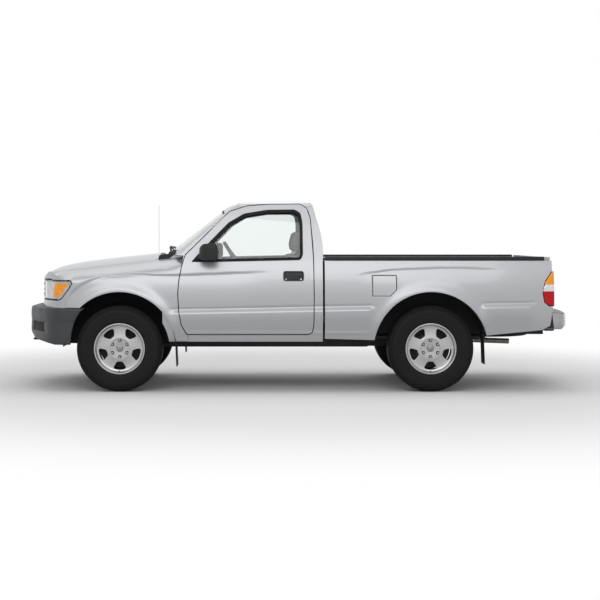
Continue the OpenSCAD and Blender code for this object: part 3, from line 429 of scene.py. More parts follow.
for panel, body, steps, rounds, keep, finish, slot in (
    ("hood", "hood", (0.02, 0.025, 0), 50, 42, silver_paint, "body_paint"),
    ("cowl_panel", "root", (0.03, 0.03, 0), 4, 24, black_plastic, "black_plastic"),
    ("tailgate", "tailgate", (0, 0.03, 0.01), 4, 24, silver_paint, "body_paint"),
    ("fuel_door", "fuel_door", (0.01, 0, 0.008), 0, 24, silver_paint, "body_paint"),
):
    skin = cad_grid(panel, steps, rounds, keep)
    if panel == "hood":
        sweep_nose(skin)
    if panel == "fuel_door":
        press_side(skin)
    made(skin, f"{panel}_skin", body, [finish], [panel])

# Tyres: black rubber, moulded with three rows of staggered blocks, shoulder
# lugs, and plain sidewalls with raised rings.
tyre_rubber = finish_of("tyre_rubber", (0.0075, 0.0075, 0.008), 0.5, 0, (9, 0.3, 0.02), (420, 0.0002), 0.0, 0.15)
wheel_y = 0.725


def outwards(bm):
    bmesh.ops.recalc_face_normals(bm, faces=bm.faces[:])


def lathe(profile, steps):
    """A closed ring: profile is (outward, radius) round a loop, turned about Y."""
    bm = bmesh.new()
    loop = [bm.verts.new((0, out, -r)) for out, r in profile]
    edges = [bm.edges.new((a, b)) for a, b in zip(loop, loop[1:] + loop[:1])]
    bmesh.ops.spin(
        bm, geom=loop + edges, cent=(0, 0, 0), axis=(0, 1, 0),
        angle=math.tau, steps=steps, use_merge=True, use_duplicate=False,
    )
    bmesh.ops.remove_doubles(bm, verts=bm.verts[:], dist=1e-6)
    outwards(bm)
    return bm


def radius_of(point):
    return math.hypot(point.x, point.z)


half_tread = [
    (0.085, 0.2158), (0.096, 0.2162), (0.103, 0.2172), (0.1056, 0.22), (0.1072, 0.224),
    (0.11, 0.24), (0.1118, 0.26), (0.1122, 0.275), (0.1106, 0.295), (0.1112, 0.2975),
    (0.1076, 0.312), (0.1066, 0.322), (0.1038, 0.329), (0.09, 0.3515), (0.08, 0.356),
    (0.076, 0.356), (0.044, 0.3575), (0.039, 0.3575), (0.021, 0.358), (0.0025, 0.358),
]
cavity = [(-0.1, 0.25), (-0.085, 0.335), (0.085, 0.335), (0.1, 0.25)]
tyre = lathe(half_tread + [(-out, r) for out, r in reversed(half_tread)] + cavity, 132)
bmesh.ops.rotate(tyre, cent=(0, 0, 0), matrix=Matrix.Rotation(math.radians(0.7), 3, "Y"), verts=tyre.verts[:])


def block_rows(f):
    c = f.calc_center_median()
    out, r = abs(c.y), radius_of(c)
    if r < 0.336 or f.normal.dot(Vector((c.x, 0, c.z))) < 0.02:
        return 0
    if 0.09 < out < 0.104:
        return 1
    if 0.045 < out < 0.075 or 0.003 < out < 0.038:
        return 2
    return 0


lugs = [f for f in tyre.faces if block_rows(f) == 1]
blocks = [f for f in tyre.faces if block_rows(f) == 2]
bmesh.ops.inset_individual(tyre, faces=lugs, thickness=0.0022, depth=0.0042)
bmesh.ops.inset_individual(tyre, faces=blocks, thickness=0.002, depth=0.0048)


def on_axle(bm, x, side):
    """Sets a wheel part, built about the origin with its face to +Y, on its axle."""
    placed = bm.copy()
    for v in placed.verts:
        v.co = Vector((x + v.co.x, side * (wheel_y + v.co.y), axle_height + v.co.z))
    if side < 0:
        bmesh.ops.reverse_faces(placed, faces=placed.faces[:])
    return placed


corners = [
    (f"{end}_{hand}", axle, side)
    for end, axle in (("front", front_axle), ("rear", rear_axle)) for side, hand in sides
]
for corner, x, side in corners:
    body = f"wheel_{corner}"
    made(on_axle(tyre, x, side), f"tread_{corner}", body, [tyre_rubber], [f"tyre_{corner}"], 28)

# Rims: cast alloy with five windows, a stepped lip and a turned centre, clear
# coated. Six plated nuts hold each one, under a small plain cap.
alloy = finish_of("alloy", (0.46, 0.46, 0.465), 0.3, 0.75, (60, 0.12, 0.1), (500, 0.00003), 0.4)
bright_steel = finish_of("bright_steel", (0.35, 0.35, 0.36), 0.14, 1.0, (12, 0.15, 0.1), (120, 0.00003))
dull_steel = finish_of("dull_steel", (0.3, 0.29, 0.28), 0.42, 0.9, (12, 0.4, 0.3), (160, 0.0002))
seal_rubber = finish_of("seal_rubber", (0.009, 0.009, 0.01), 0.6, 0, (20, 0.3, 0.04), (500, 0.0001), 0.0, 0.2)
rim = lathe([
    (0.094, 0.2155), (0.088, 0.205), (0.07, 0.199), (0.04, 0.188), (-0.07, 0.188),
    (-0.088, 0.202), (-0.094, 0.2155), (-0.1, 0.2135), (-0.098, 0.206), (-0.08, 0.192),
    (-0.06, 0.182), (0.01, 0.182), (0.022, 0.176), (0.032, 0.164), (0.034, 0.12),
    (0.03, 0.09), (0.03, 0.029), (0.062, 0.029), (0.062, 0.079), (0.064, 0.0805),
    (0.0672, 0.0815), (0.068, 0.084), (0.0665, 0.095), (0.0625, 0.115), (0.06, 0.145),
    (0.0605, 0.17), (0.063, 0.185), (0.068, 0.1935), (0.076, 0.1975), (0.09, 0.201),
    (0.0965, 0.204), (0.1, 0.209), (0.099, 0.214),
], 120)
window_shape = [
    (-0.022, 0.112), (0.022, 0.112), (0.052, 0.158), (0.042, 0.1725), (0, 0.1785),
    (-0.042, 0.1725), (-0.052, 0.158),
]


def rounded(bm, geom, offset, segments, affect="EDGES", clamp=False):
    bmesh.ops.bevel(
        bm, geom=geom, offset=offset, segments=segments, profile=0.5, material=-1,
        affect=affect, clamp_overlap=clamp,
    )


def corners_of(geom):
    return [g for g in geom if isinstance(g, bmesh.types.BMVert)]


def plate(outline, corner, low, high):
    """A closed slab with an (x, z) outline and rounded corners, from low to high along Y."""
    bm = bmesh.new()
    bm.faces.new([bm.verts.new((x, low, z)) for x, z in outline])
    if corner:
        rounded(bm, bm.verts[:], corner, 5, "VERTICES")
    raised = bmesh.ops.extrude_face_region(bm, geom=bm.faces[:], use_keep_orig=True)["geom"]
    bmesh.ops.translate(bm, vec=(0, high - low, 0), verts=corners_of(raised))
    outwards(bm)
    return bm


def join_into(bm, other, index=None):
    """Adds another bmesh, in one material if index is given."""
    if index is not None:
        for f in other.faces:
            f.material_index = index
    part = bpy.data.meshes.new("part")
    other.to_mesh(part)
    other.free()
    bm.from_mesh(part)
    bpy.data.meshes.remove(part)


cutter = bmesh.new()
for k in range(5):
    one = plate([(across, -r) for across, r in window_shape], 0.011, 0.0, 0.12)
    for v in one.verts:
        if v.co.y > 0.06:
            v.co.x, v.co.z = v.co.x * 1.12, -0.147 + (v.co.z + 0.147) * 1.12
    bmesh.ops.rotate(one, cent=(0, 0, 0), matrix=Matrix.Rotation(math.radians(72 * k), 3, "Y"), verts=one.verts[:])
    join_into(cutter, one)


def cut_away(bm, tool, rounding):
    """The mesh less the tool, with its sharp edges rounded."""
    holders = []
    for label, source in (("cut_body", bm), ("cut_tool", tool)):
        mesh = bpy.data.meshes.new(label)
        source.to_mesh(mesh)
        source.free()
        holder = bpy.data.objects.new(label, mesh)
        bpy.context.scene.collection.objects.link(holder)
        holders.append(holder)
    cut = holders[0].modifiers.new("cut", "BOOLEAN")
    cut.operation, cut.object, cut.solver = "DIFFERENCE", holders[1], "MANIFOLD"
    soften = holders[0].modifiers.new("soften", "BEVEL")
    soften.width, soften.segments, soften.limit_method = rounding, 3, "ANGLE"
    soften.angle_limit = math.radians(38)
    result = bmesh.new()
    result.from_mesh(holders[0].evaluated_get(bpy.context.evaluated_depsgraph_get()).to_mesh())
    for holder in holders:
        bpy.data.objects.remove(holder)
    return result


rim = cut_away(rim, cutter, 0.0035)

trim = bmesh.new()
nut_circle = 0.0699


def turned(bm, bottom, top, radius, top_radius, segments, at=(0, 0), rounding=0.0):
    """A short turned part along Y, from bottom to top, at (x, z)."""
    made_of = bmesh.ops.create_cone(
        bm, cap_ends=True, segments=segments, radius1=radius, radius2=top_radius, depth=top - bottom,
        matrix=Matrix.Translation((at[0], (bottom + top) / 2, at[1])) @ Matrix.Rotation(math.radians(-90), 4, "X"),
    )
    if rounding:
        ends = {e for v in made_of["verts"] for e in v.link_edges if abs(e.verts[0].co.y - e.verts[1].co.y) < 1e-6}
        rounded(bm, list(ends), rounding, 2)


for k in range(6):
    spot = tuple(nut_circle * turn(math.radians(60 * k)) for turn in (math.sin, math.cos))
    # A thin disc under each nut, later given the dark rubber finish: painted shade for the pocket the nut sits in.
    turned(trim, 0.058, 0.0632, 0.016, 0.015, 28, spot)
    turned(trim, 0.06, 0.08, 0.0108, 0.01, 6, spot, 0.0015)
turned(trim, 0.04, 0.074, 0.03, 0.027, 40, (0, 0), 0.004)
turned(trim, 0.07, 0.0765, 0.0195, 0.017, 32, (0, 0), 0.002)
turned(trim, 0.05, 0.088, 0.0042, 0.0036, 12, (0, -0.19), 0.0008)


def rim_trim_material(f):
    """0 is bright, 1 the dull cap, and 2 the dark valve and the discs under the nuts, whose dark is painted shade
    for the pockets the nuts sit in.
    """
    place = f.calc_center_median()
    near = radius_of(place)
    if near < 0.021:
        return 1
    # Index 2 is the valve's own dark rubber, and painted shade on the discs under the nuts.
    return 2 if near > 0.15 or 0.055 < near < 0.085 and place.y <= 0.0637 else 0


for f in trim.faces:
    f.material_index = rim_trim_material(f)
for corner, x, side in corners:
    body = f"wheel_{corner}"
    made(on_axle(rim, x, side), f"alloy_{corner}", body, [alloy], [f"rim_{corner}"], 30)
    trim_finishes = [bright_steel, dull_steel, seal_rubber]
    made(on_axle(trim, x, side), f"nuts_and_cap_{corner}", body, trim_finishes, (), 30)

# Inner arches: black moulded liners and inner aprons close the front wheel
# wells, and a dark liner lines the rear wells over the tyres.
liner_radius, liner_steps, liner_outer = 0.474, 40, 0.812
wells = (("front", front_axle, 0.412, 2, 178), ("rear", rear_axle, 0.56, 14, 166))
for side, hand in sides:
    for well, axle, inner, start, end in wells:
        liner = bmesh.new()
        turns = [math.radians(start + (end - start) * k / liner_steps) for k in range(liner_steps + 1)]
        arc = [
            liner.verts.new((
                axle - liner_radius * math.cos(turn), side * inner, axle_height + liner_radius * math.sin(turn),
            ))
            for turn in turns
        ]
        arc_edges = [liner.edges.new(pair) for pair in zip(arc, arc[1:])]
        swept = bmesh.ops.extrude_edge_only(liner, edges=arc_edges)["geom"]
        bmesh.ops.translate(liner, vec=(0, side * (liner_outer - inner), 0), verts=corners_of(swept))
        liner.faces.new(arc)
        outwards(liner)
        bmesh.ops.solidify(liner, geom=liner.faces[:], thickness=-0.003)
        made(liner, f"arch_liner_{well}_{hand}", "root", [seal_rubber])

# Front bumper: one grained polypropylene moulding with a step along its middle
# and a recess for a lamp at each corner. It is clipped over the frame ends.
bumper_plastic = finish_of(
    "bumper_plastic", (0.036, 0.038, 0.043), 0.42, 0, (10, 0.25, 0.05), (700, 0.0002), 0.0, 0.4,
)
bumper = cad_grid("front_bumper", (0.016, 0.02, 0.011), 10)
step_height = 0.602
for v in bumper.verts:
    outward = Vector((v.normal.x, v.normal.y, 0))
    if outward.length > 0.5 and v.co.x < -1.75:
        outward.normalize()
        outside = outward.x < -0.2 or outward.y * v.co.y > 0.2
        if outside:
            drop = step_height - v.co.z
            v.co += outward * undercut(drop, 0.007, 0.008, 0.05)
lamp_x, lamp_z = (-2.31, -2.235), (0.492, 0.588)
for side in (-1, 1):
    recess = []
    for f in bumper.faces:
        c = f.calc_center_median()
        in_recess = lamp_x[0] < c.x < lamp_x[1] and lamp_z[0] < c.z < lamp_z[1]
        if in_recess and c.y * side > 0 and side * f.normal.y - f.normal.x > 0.6:
            recess.append(f)
    bmesh.ops.inset_region(bumper, faces=recess, thickness=0.004, depth=-0.018)
    for f in recess:
        f.material_index = 1
relax(bumper, 4, 120)
sweep_nose(bumper, 0.3, 0.12)
made(bumper, "bumper_moulding", "root", [bumper_plastic, seal_rubber], ["front_bumper"])

# Headlamps: a hard coated clear lens over a bright reflector, with an amber
# corner lens, in a black seal and a thin bright frame.
amber_lens = finish_of("amber_lens", (0.95, 0.33, 0.006), 0.16, 0, (30, 0.35, 0.02), (160, 0.0006), 0.35, 0.3)
clear_lens = finish_of("clear_lens", (0.42, 0.44, 0.45), 0.12, 0.7, (26, 0.7, 0.05), (70, 0.0012), 1.0)


def glassy_faces(bm, side, lengthwise):
    """Faces at one side that look outward and, by lengthwise -1 or 1, to the front or rear."""
    return [
        f for f in bm.faces
        if f.calc_center_median().y * side > 0 and abs(f.normal.z) < 0.6
        and lengthwise * f.normal.x + side * f.normal.y > 0.75
    ]


def framed(bm, outer, rings):
    """Insets the outer faces by rings of (width, depth, material index)."""
    low = [min(v.co[k] for v in bm.verts) for k in range(3)]
    high = [max(v.co[k] for v in bm.verts) for k in range(3)]
    for width, depth, index in rings:
        rim_faces = bmesh.ops.inset_region(bm, faces=outer, thickness=width, depth=depth)["faces"]
        for f in rim_faces:
            f.material_index = index
    for v in bm.verts:
        v.co = [max(low[k], min(high[k], v.co[k])) for k in range(3)]


lamps = cad_grid("headlamps", (0.01, 0.01, 0.01), 6)
for side in (-1, 1):
    glassy = glassy_faces(lamps, side, -1)
    framed(lamps, glassy, ((0.009, -0.001, 1), (0.006, 0.002, 2), (0.004, -0.003, 1)))
    lens = set(glassy)
    for _ in range(3):
        lens = {f for f in lens if all(other in lens for v in f.verts for other in v.link_faces)}
    for f in glassy:
        c = f.calc_center_median()
        on_corner = c.x > -2.096 + 0.22 * (c.z - 0.87) and abs(f.normal.y) > 0.3
        f.material_index = 3 if on_corner and f in lens else 0
sweep_nose(lamps)
lamp_finishes = [clear_lens, seal_rubber, bright_steel, amber_lens]
made(lamps, "headlamp_units", "root", lamp_finishes, ["headlamps"])

# Tail lamps: one moulded lens each side in amber, white and red, in a black
# seal on the bed corner.
red_lens = finish_of("red_lens", (0.52, 0.002, 0.008), 0.16, 0, (30, 0.4, 0.02), (150, 0.0006), 0.2, 0.15)
white_lens = finish_of("white_lens", (0.78, 0.76, 0.76), 0.12, 0.1, (26, 0.3, 0.05), (90, 0.001), 1.0)
lamps = cad_grid("tail_lamps", (0.008, 0.01, 0.008), 4)
for side in (-1, 1):
    glassy = glassy_faces(lamps, side, 1)
    framed(lamps, glassy, ((0.008, -0.001, 1), (0.004, 0.004, 1)))
    for f in glassy:
        height = f.calc_center_median().z
        f.material_index = 3 if height > 0.905 else (2 if height > 0.85 else 0)
    for f in set(lamps.faces) - set(glassy):
        hidden = abs(f.normal.z) > 0.6 or f.normal.y * side < -0.3 or f.normal.x < -0.3
        if hidden and f.calc_center_median().y * side > 0:
            f.material_index = 4
lamp_finishes = [red_lens, seal_rubber, white_lens, amber_lens, silver_paint]
made(lamps, "tail_lamp_units", "root", lamp_finishes, ["tail_lamps"])

# Grille: black moulding with four bright bars between the headlamps, and a
# painted edge at its ends and foot. It is clipped to the nose.
grille = cad_grid("grille", (0, 0.03, 0.0075))
bars, mouth_half, mouth_foot = [0.752, 0.8, 0.848, 0.896], 0.44, 0.735


def off_bar(z):
    return min(abs(z - b) for b in bars)


for f in grille.faces:
    c = f.calc_center_median()
    if abs(c.y) > mouth_half or c.z < mouth_foot:
        f.material_index = 2
    elif f.normal.x < -0.3 and off_bar(c.z) < 0.012:
        f.material_index = 1
for v in grille.verts:
    if v.normal.x < -0.3 and 0.727 < v.co.z < 0.93 and abs(v.co.y) < mouth_half and off_bar(v.co.z) > 0.0135:
        v.co.x += 0.026
sweep_nose(grille)
grille_finishes = [black_plastic, bright_steel, silver_paint]
made(grille, "grille_moulding", "root", grille_finishes, ["grille"], 30)

# Glazing: tinted laminated and tempered glass, bonded in or held in black
# rubber seals.
glass, tree, shader = blank_material("window_glass")
tint = wired(tree, "TexNoise", {"Vector": surface_point(tree), "Scale": 2.0}).outputs["Fac"]
tinted = blended(tree, tint, (0.9, 0.925, 0.915, 1), (0.86, 0.895, 0.885, 1))
feed(tree, shader, {"Roughness": 0.0, "IOR": 1.45, "Transmission Weight": 1.0, "Base Color": tinted})
in_shadow = wired(tree, "LightPath", {}).outputs["Is Shadow Ray"]
shown_as(tree, in_shadow, shader, wired(tree, "BsdfTransparent", {}))
for pane_node in ("windshield", "rear_window", "door_glass_left", "door_glass_right"):
    nodes[pane_node].data.materials.clear()
    nodes[pane_node].data.materials.append(glass)

seal_outline = [
    (-0.8, 1.092), (-0.428, 1.1), (0.032, 1.11), (0.055, 1.151), (0.053, 1.428), (0.037, 1.51),
    (-0.013, 1.54), (-0.244, 1.538), (-0.443, 1.506), (-0.577, 1.428), (-0.8, 1.199),
]


def onto_side(bm, side):
    """Wraps a part that lies in X and Z, with Y as its height, onto the body side."""
    for v in bm.verts:
        v.co.y = side * (body_side(v.co.z) + v.co.y)
    outwards(bm)


def edge_ring(bm, width, thickness, shift=(0, 0, 0)):
    """Leaves only a ring along the edge of a sheet, shifts it and gives it a thickness."""
    middle = bm.faces[:]
    bmesh.ops.inset_region(bm, faces=middle, thickness=width, use_boundary=True)
    bmesh.ops.delete(bm, geom=middle, context="FACES")
    bmesh.ops.translate(bm, vec=shift, verts=bm.verts[:])
    outwards(bm)
    bmesh.ops.solidify(bm, geom=bm.faces[:], thickness=thickness)


for side, hand in sides:
    seal = bmesh.new()
    seal.faces.new([seal.verts.new((x, -0.004, z)) for x, z in seal_outline])
    rounded(seal, seal.verts[:], 0.018, 5, "VERTICES")
    edge_ring(seal, 0.024, 0.0065)
    lift = -0.004 - min(v.co.y for v in seal.verts)
    bmesh.ops.translate(seal, vec=(0, lift, 0), verts=seal.verts[:])
    join_into(seal, plate([(-0.888, 1.096), (-0.78, 1.092), (-0.78, 1.219)], 0.008, -0.004, 0.0035))
    onto_side(seal, side)
    made(seal, f"window_seal_{hand}", f"door_{hand}", [seal_rubber])

# Door handles: black moulded bezel with a hand recess, a pull flap, and the
# lock and screw below it.
lock_z, lock_x, screw_x = 0.9495, -0.09, 0.036
for side, hand in sides:
    handle = plate([(-0.113, 0.935), (0.061, 0.935), (0.061, 1.018), (-0.113, 1.018)], 0.02, -0.006, 0.007)
    lid = [f for f in handle.faces if f.normal.y > 0.9]
    bmesh.ops.inset_region(handle, faces=lid, thickness=0.01)
    bmesh.ops.inset_region(handle, faces=lid, thickness=0.003, depth=-0.0058)
    flap = plate([(-0.096, 0.976), (0.044, 0.976), (0.044, 1.005), (-0.096, 1.005)], 0.009, -0.005, 0.0065)
    join_into(handle, flap)
    turned(handle, 0.004, 0.0085, 0.0058, 0.005, 20, (lock_x, lock_z))
    turned(handle, 0.004, 0.0085, 0.0072, 0.0062, 20, (screw_x, lock_z))
    for f in handle.faces:
        c = f.calc_center_median()
        if c.y > 0.0035 and min(math.hypot(c.x - x, c.z - lock_z) for x in (lock_x, screw_x)) < 0.008:
            f.material_index = 1
    onto_side(handle, side)
    made(handle, f"door_handle_{hand}", f"door_{hand}", [black_plastic, bright_steel])

# Mirrors, and the plain plastic, rubber, steel and cast parts that only get
# rounded edges. The mirror glass is set in the back of its shell.
frame_black = finish_of("frame_black", (0.014, 0.0135, 0.013), 0.55, 0, (8, 0.5, 0.15), (90, 0.0004), 0.0, 0.25)
cast_iron = finish_of("cast_iron", (0.1, 0.095, 0.09), 0.6, 0.6, (14, 0.5, 0.2), (220, 0.0005))


def soft_edges(bm, offset, segments=3, keep=30):
    """Rounds the edges that are sharper than keep degrees."""
    sharp = [e for e in bm.edges if len(e.link_faces) == 2 and e.calc_face_angle(0) > math.radians(keep)]
    rounded(bm, sharp, offset, segments, clamp=True)


for side, hand in sides:
    shell = cad_copy(f"mirror_{hand}", 3)
    soft_edges(shell, 0.011, 4)
    back = sorted((f for f in shell.faces if f.normal.x > 0.8), key=lambda f: -f.calc_area())[:1]
    bmesh.ops.inset_region(shell, faces=back, thickness=0.006, depth=-0.003)
    for f in back:
        f.material_index = 1
    finishes = [black_plastic, bright_steel]
    made(shell, f"mirror_shell_{hand}", f"door_{hand}", finishes, [f"mirror_{hand}"])

for part, finish, slot, rounding in (
    ("bed_rail_caps", black_plastic, "black_plastic", 0.004),
    ("mud_flaps", seal_rubber, "rubber", 0.002),
    ("dashboard", trim_plastic, "interior_plastic", 0.008),
    ("radiator", frame_black, "frame_black", 0.004),
    ("engine_block", cast_iron, "cast_iron", 0.012),
    ("fuel_tank", frame_black, "frame_black", 0.02),
    ("bed_floor", silver_paint, "body_paint", 0.01),
):
    shape = cad_copy(part, 2)
    soft_edges(shape, rounding)
    made(shape, f"{part}_finished", "root", [finish], [part])

# Rear bumper: chromed pressed steel with a black step pad on its top and black
# fillers at its ends, bolted to the frame rails.
rear_bow, step_half = 4.42, 0.822
bumper_outline = [(2.16, 0.527), (2.318, 0.527), (2.341, 0.56), (2.341, 0.65), (2.33, 0.664), (2.16, 0.664)]
step = plate(bumper_outline, 0, -step_half, step_half)
soft_edges(step, 0.01, 4)
cap_edge, cap_slant = Vector((2.24, 0, 0.6)), Vector((1, 0, 0.15))
cut_across(step, cap_edge, cap_slant, 0)
grid_cut(step, (0, 0.04, 0))
for f in step.faces:
    c = f.calc_center_median()
    on_cap = abs(f.normal.y) > 0.9 and (c - cap_edge).dot(cap_slant) < 0
    f.material_index = int((f.normal.z > 0.6 and c.z > 0.655) or on_cap)
for v in step.verts:
    v.co.x -= v.co.y**2 / (2 * rear_bow) + 0.02 * ease(abs(v.co.y), 0.74, 0.83) * ease(v.co.x, 2.2, 2.33)
made(step, "step_bumper", "root", [bright_steel, black_plastic], ["rear_bumper"])


def box_into(bm, low, high, rounding):
    """Adds a box with rounded edges."""
    size = [h - l for l, h in zip(low, high)]
    middle = [(l + h) / 2 for l, h in zip(low, high)]
    made_of = bmesh.ops.create_cube(bm, size=1, matrix=Matrix.Translation(middle) @ Matrix.Diagonal((*size, 1)))
    rounded(bm, list({e for v in made_of["verts"] for e in v.link_edges}), rounding, 2)


filler = bmesh.new()
for side in (-1, 1):
    low, high = sorted((side * 0.6, side * 0.8))
    box_into(filler, (2.085, low, 0.512), (2.175, high, 0.668), 0.012)
box_into(filler, (2.085, -0.6, 0.64), (2.175, 0.6, 0.668), 0.006)
made(filler, "bumper_filler", "root", [black_plastic])

# Brakes: dull pressed shields and cast drums behind the wheels, bolted to
# their hubs.
for corner, x, side in corners:
    shield = bmesh.new()
    turned(shield, -0.03, -0.022, 0.172, 0.168, 64)
    turned(shield, -0.022, 0.018, 0.128, 0.126, 64, (0, 0), 0.004)
    body = f"wheel_{corner}"
    made(on_axle(shield, x, side), f"brake_{corner}", body, [frame_black])

# Seat: a foam bench in grey woven cloth, with a split back, two head rests on
# steel posts, and stitched seams that pull the cloth in.
seat_cloth = finish_of("seat_cloth", (0.105, 0.118, 0.12), 0.92, 0, (14, 0.25, 0.06), (900, 0.0003), 0, 0.25)
tree = seat_cloth.node_tree
place = surface_point(tree)
warp, weft = (
    wired(tree, "TexWave", {"Vector": place, "Scale": 90, "Distortion": 0.8}, bands_direction=way).outputs["Fac"]
    for way in ("X", "Y")
)
weave = wired(tree, "Math", {0: warp, 1: weft}, operation="MAXIMUM")
bump = wired(tree, "Bump", {"Height": weave.outputs[0], "Strength": 0.6, "Distance": 0.0008})
feed(tree, tree.nodes["Principled BSDF"], {"Normal": bump.outputs["Normal"]})


def stuffed(low, high, corner, swell, seams):
    """A padded block: rounded, swollen between its edges and drawn in at seams of (axis, place)."""
    bm = bmesh.new()
    bmesh.ops.create_cube(bm, size=1.0)
    for v in bm.verts:
        v.co = [low[k] + (v.co[k] + 0.5) * (high[k] - low[k]) for k in range(3)]
    for k in range(3):
        count = max(4, round((high[k] - low[k]) / 0.016))
        places = [low[k] + (high[k] - low[k]) * i / count for i in range(1, count)]
        places += [at + d for axis, at in seams if axis == k for d in (-0.005, 0, 0.005)]
        for at in places:
            axis = Vector([float(i == k) for i in range(3)])
            cut_across(bm, axis * at, axis, 1e-5)
    for v in bm.verts:
        core = Vector([max(low[k] + corner, min(high[k] - corner, v.co[k])) for k in range(3)])
        out = (v.co - core).normalized()
        part = [(v.co[k] - (low[k] + high[k]) / 2) / ((high[k] - low[k]) / 2) for k in range(3)]
        rise = swell
        for k in range(3):
            rise *= 1 - part[k] ** 2 * (1 - abs(out[k]))
        drawn = sum(0.007 * math.exp(-(((v.co[axis] - at) / 0.006) ** 2)) for axis, at in seams)
        v.co = core + out * (corner + rise - drawn)
    return bm


def seat_back_place(bm):
    """Leans a part of the seat's back and sets it on the cushion."""
    tilt = Matrix.Translation((-0.157, 0, 0.768)) @ Matrix.Rotation(math.radians(12), 4, "Y")
    bmesh.ops.transform(bm, matrix=tilt, verts=bm.verts[:])
    return bm


def upholstered(bm, name, stands_for=()):
    made(bm, name, "root", [seat_cloth], stands_for, 60)


def rod_into(bm, middle, length, radii, segments, along_x=False):
    """Adds a capped round part along Z or X, given its radius at each end."""
    turn = Matrix.Rotation(math.radians(90 if along_x else 0), 4, "Y")
    bmesh.ops.create_cone(
        bm, cap_ends=True, segments=segments, radius1=radii[0], radius2=radii[1], depth=length,
        matrix=Matrix.Translation(middle) @ turn,
    )


def seams_with(cross_seam):
    """A seam across, between those of the middle and of the sides."""
    return [(1, -0.11), (1, 0.11), cross_seam, (1, -0.56), (1, 0.56)]


upholstered(
    stuffed((-0.553, -0.646, 0.643), (-0.045, 0.646, 0.772), 0.042, 0.012, seams_with((0, -0.452))),
    "seat_cushion", ["bench_seat"],
)
back = stuffed((0.004, -0.646, 0.012), (0.119, 0.646, 0.396), 0.04, 0.01, seams_with((2, 0.3)))
upholstered(seat_back_place(back), "seat_back")
posts = bmesh.new()
for side, hand in sides:
    y = side * 0.35
    rest = stuffed((0.02, y - 0.122, 0.44), (0.102, y + 0.122, 0.6), 0.032, 0.008, ((2, 0.462),))
    upholstered(seat_back_place(rest), f"head_rest_{hand}")
    for apart in (-0.06, 0.06):
        rod_into(posts, (0.06, y + apart, 0.418), 0.075, (0.0065, 0.0065), 20)
made(seat_back_place(posts), "head_rest_posts", "root", [bright_steel])
base = bmesh.new()
for y in (-0.45, -0.05, 0.05, 0.45):
    box_into(base, (-0.5, y - 0.02, 0.6395), (-0.09, y + 0.02, 0.652), 0.003)
made(base, "seat_runners", "root", [dull_steel])

# Dashboard fittings and pedals: moulded grey plastic with dark vents, radio and
# instruments, clipped to the dashboard. The steering wheel has a soft rim.


def bar(bm, start, end, width, height, rounding=0.002):
    """A bar with rounded edges between two points."""
    start, end = Vector(start), Vector(end)
    along = (end - start).normalized()
    across = along.cross(Vector((0, 0, 1)) if abs(along.z) < 0.9 else Vector((1, 0, 0))).normalized()
    up = across.cross(along)
    one = bmesh.new()
    half = ((end - start).length / 2, width / 2, height / 2)
    box_into(one, [-h for h in half], half, rounding)
    turn = Matrix((along, across, up)).transposed().to_4x4()
    bmesh.ops.transform(one, matrix=Matrix.Translation((start + end) / 2) @ turn, verts=one.verts[:])
    join_into(bm, one)


def boxes_into(bm, rows):
    """Adds rounded boxes, given as (low, high, rounding, material index)."""
    for low, high, rounding, index in rows:
        one = bmesh.new()
        box_into(one, low, high, rounding)
        join_into(bm, one, index)


def ball_into(bm, middle, radius, around, up):
    bmesh.ops.create_uvsphere(
        bm, u_segments=around, v_segments=up, radius=radius, matrix=Matrix.Translation(middle),
    )


fittings = bmesh.new()
boxes_into(fittings, (
    ((-0.93, -0.53, 1.085), (-0.792, -0.21, 1.148), 0.016, 0),
    ((-0.8, -0.5, 1.098), (-0.7895, -0.24, 1.138), 0.004, 1),
    ((-0.84, -0.125, 0.86), (-0.766, 0.125, 1.075), 0.01, 0),
    ((-0.77, -0.105, 1.01), (-0.7635, -0.01, 1.06), 0.003, 1),
    ((-0.77, 0.01, 1.01), (-0.7635, 0.105, 1.06), 0.003, 1),
    ((-0.77, -0.09, 0.94), (-0.763, 0.09, 0.992), 0.003, 1),
    ((-0.77, -0.09, 0.878), (-0.763, 0.09, 0.926), 0.003, 1),
    ((-0.815, 0.2, 0.868), (-0.78, 0.6, 0.975), 0.01, 0),
    ((-0.8, 0.37, 0.95), (-0.774, 0.43, 0.966), 0.004, 1),
    ((-0.8, 0.48, 1.01), (-0.7725, 0.6, 1.055), 0.004, 1),
    ((-0.8, -0.69, 1.01), (-0.7725, -0.6, 1.055), 0.004, 1),
))
for z in (1.02, 1.03, 1.04, 1.05):
    for y0, y1 in ((-0.1, -0.015), (0.015, 0.1), (0.485, 0.595), (-0.685, -0.605)):
        near = -0.762 if abs(y0) < 0.2 else -0.771
        boxes_into(fittings, [((near - 0.004, y0, z - 0.0012), (near, y1, z + 0.0012), 0.0004, 0)])
for y in (-0.06, 0.0, 0.06):
    knob = bmesh.new()
    rod_into(knob, (-0.756, y, 0.902), 0.018, (0.017, 0.014), 24, True)
    join_into(fittings, knob, 1)
for y, width in ((-0.46, 0.06), (-0.36, 0.06), (-0.27, 0.045)):
    pedal = bmesh.new()
    box_into(pedal, (-0.965, y - width / 2, 0.7), (-0.95, y + width / 2, 0.77), 0.004)
    bar(pedal, (-0.96, y, 0.76), (-0.985, y, 0.9), 0.012, 0.01)
    join_into(fittings, pedal, 1)
lever = bmesh.new()
bar(lever, (-0.69, 0, 0.655), (-0.655, 0, 0.9), 0.014, 0.014, 0.006)
ball_into(lever, (-0.653, 0, 0.915), 0.026, 24, 16)
box_into(lever, (-0.74, -0.055, 0.6405), (-0.63, 0.055, 0.668), 0.012)
join_into(fittings, lever, 1)
made(fittings, "dashboard_fittings", "root", [trim_plastic, black_plastic], (), 30)
wheel = cad_copy("steering_wheel", 2)
soft_edges(wheel, 0.0035, 3, 35)
made(wheel, "steering_wheel_finished", "root", [trim_plastic], ["steering_wheel"], 45)

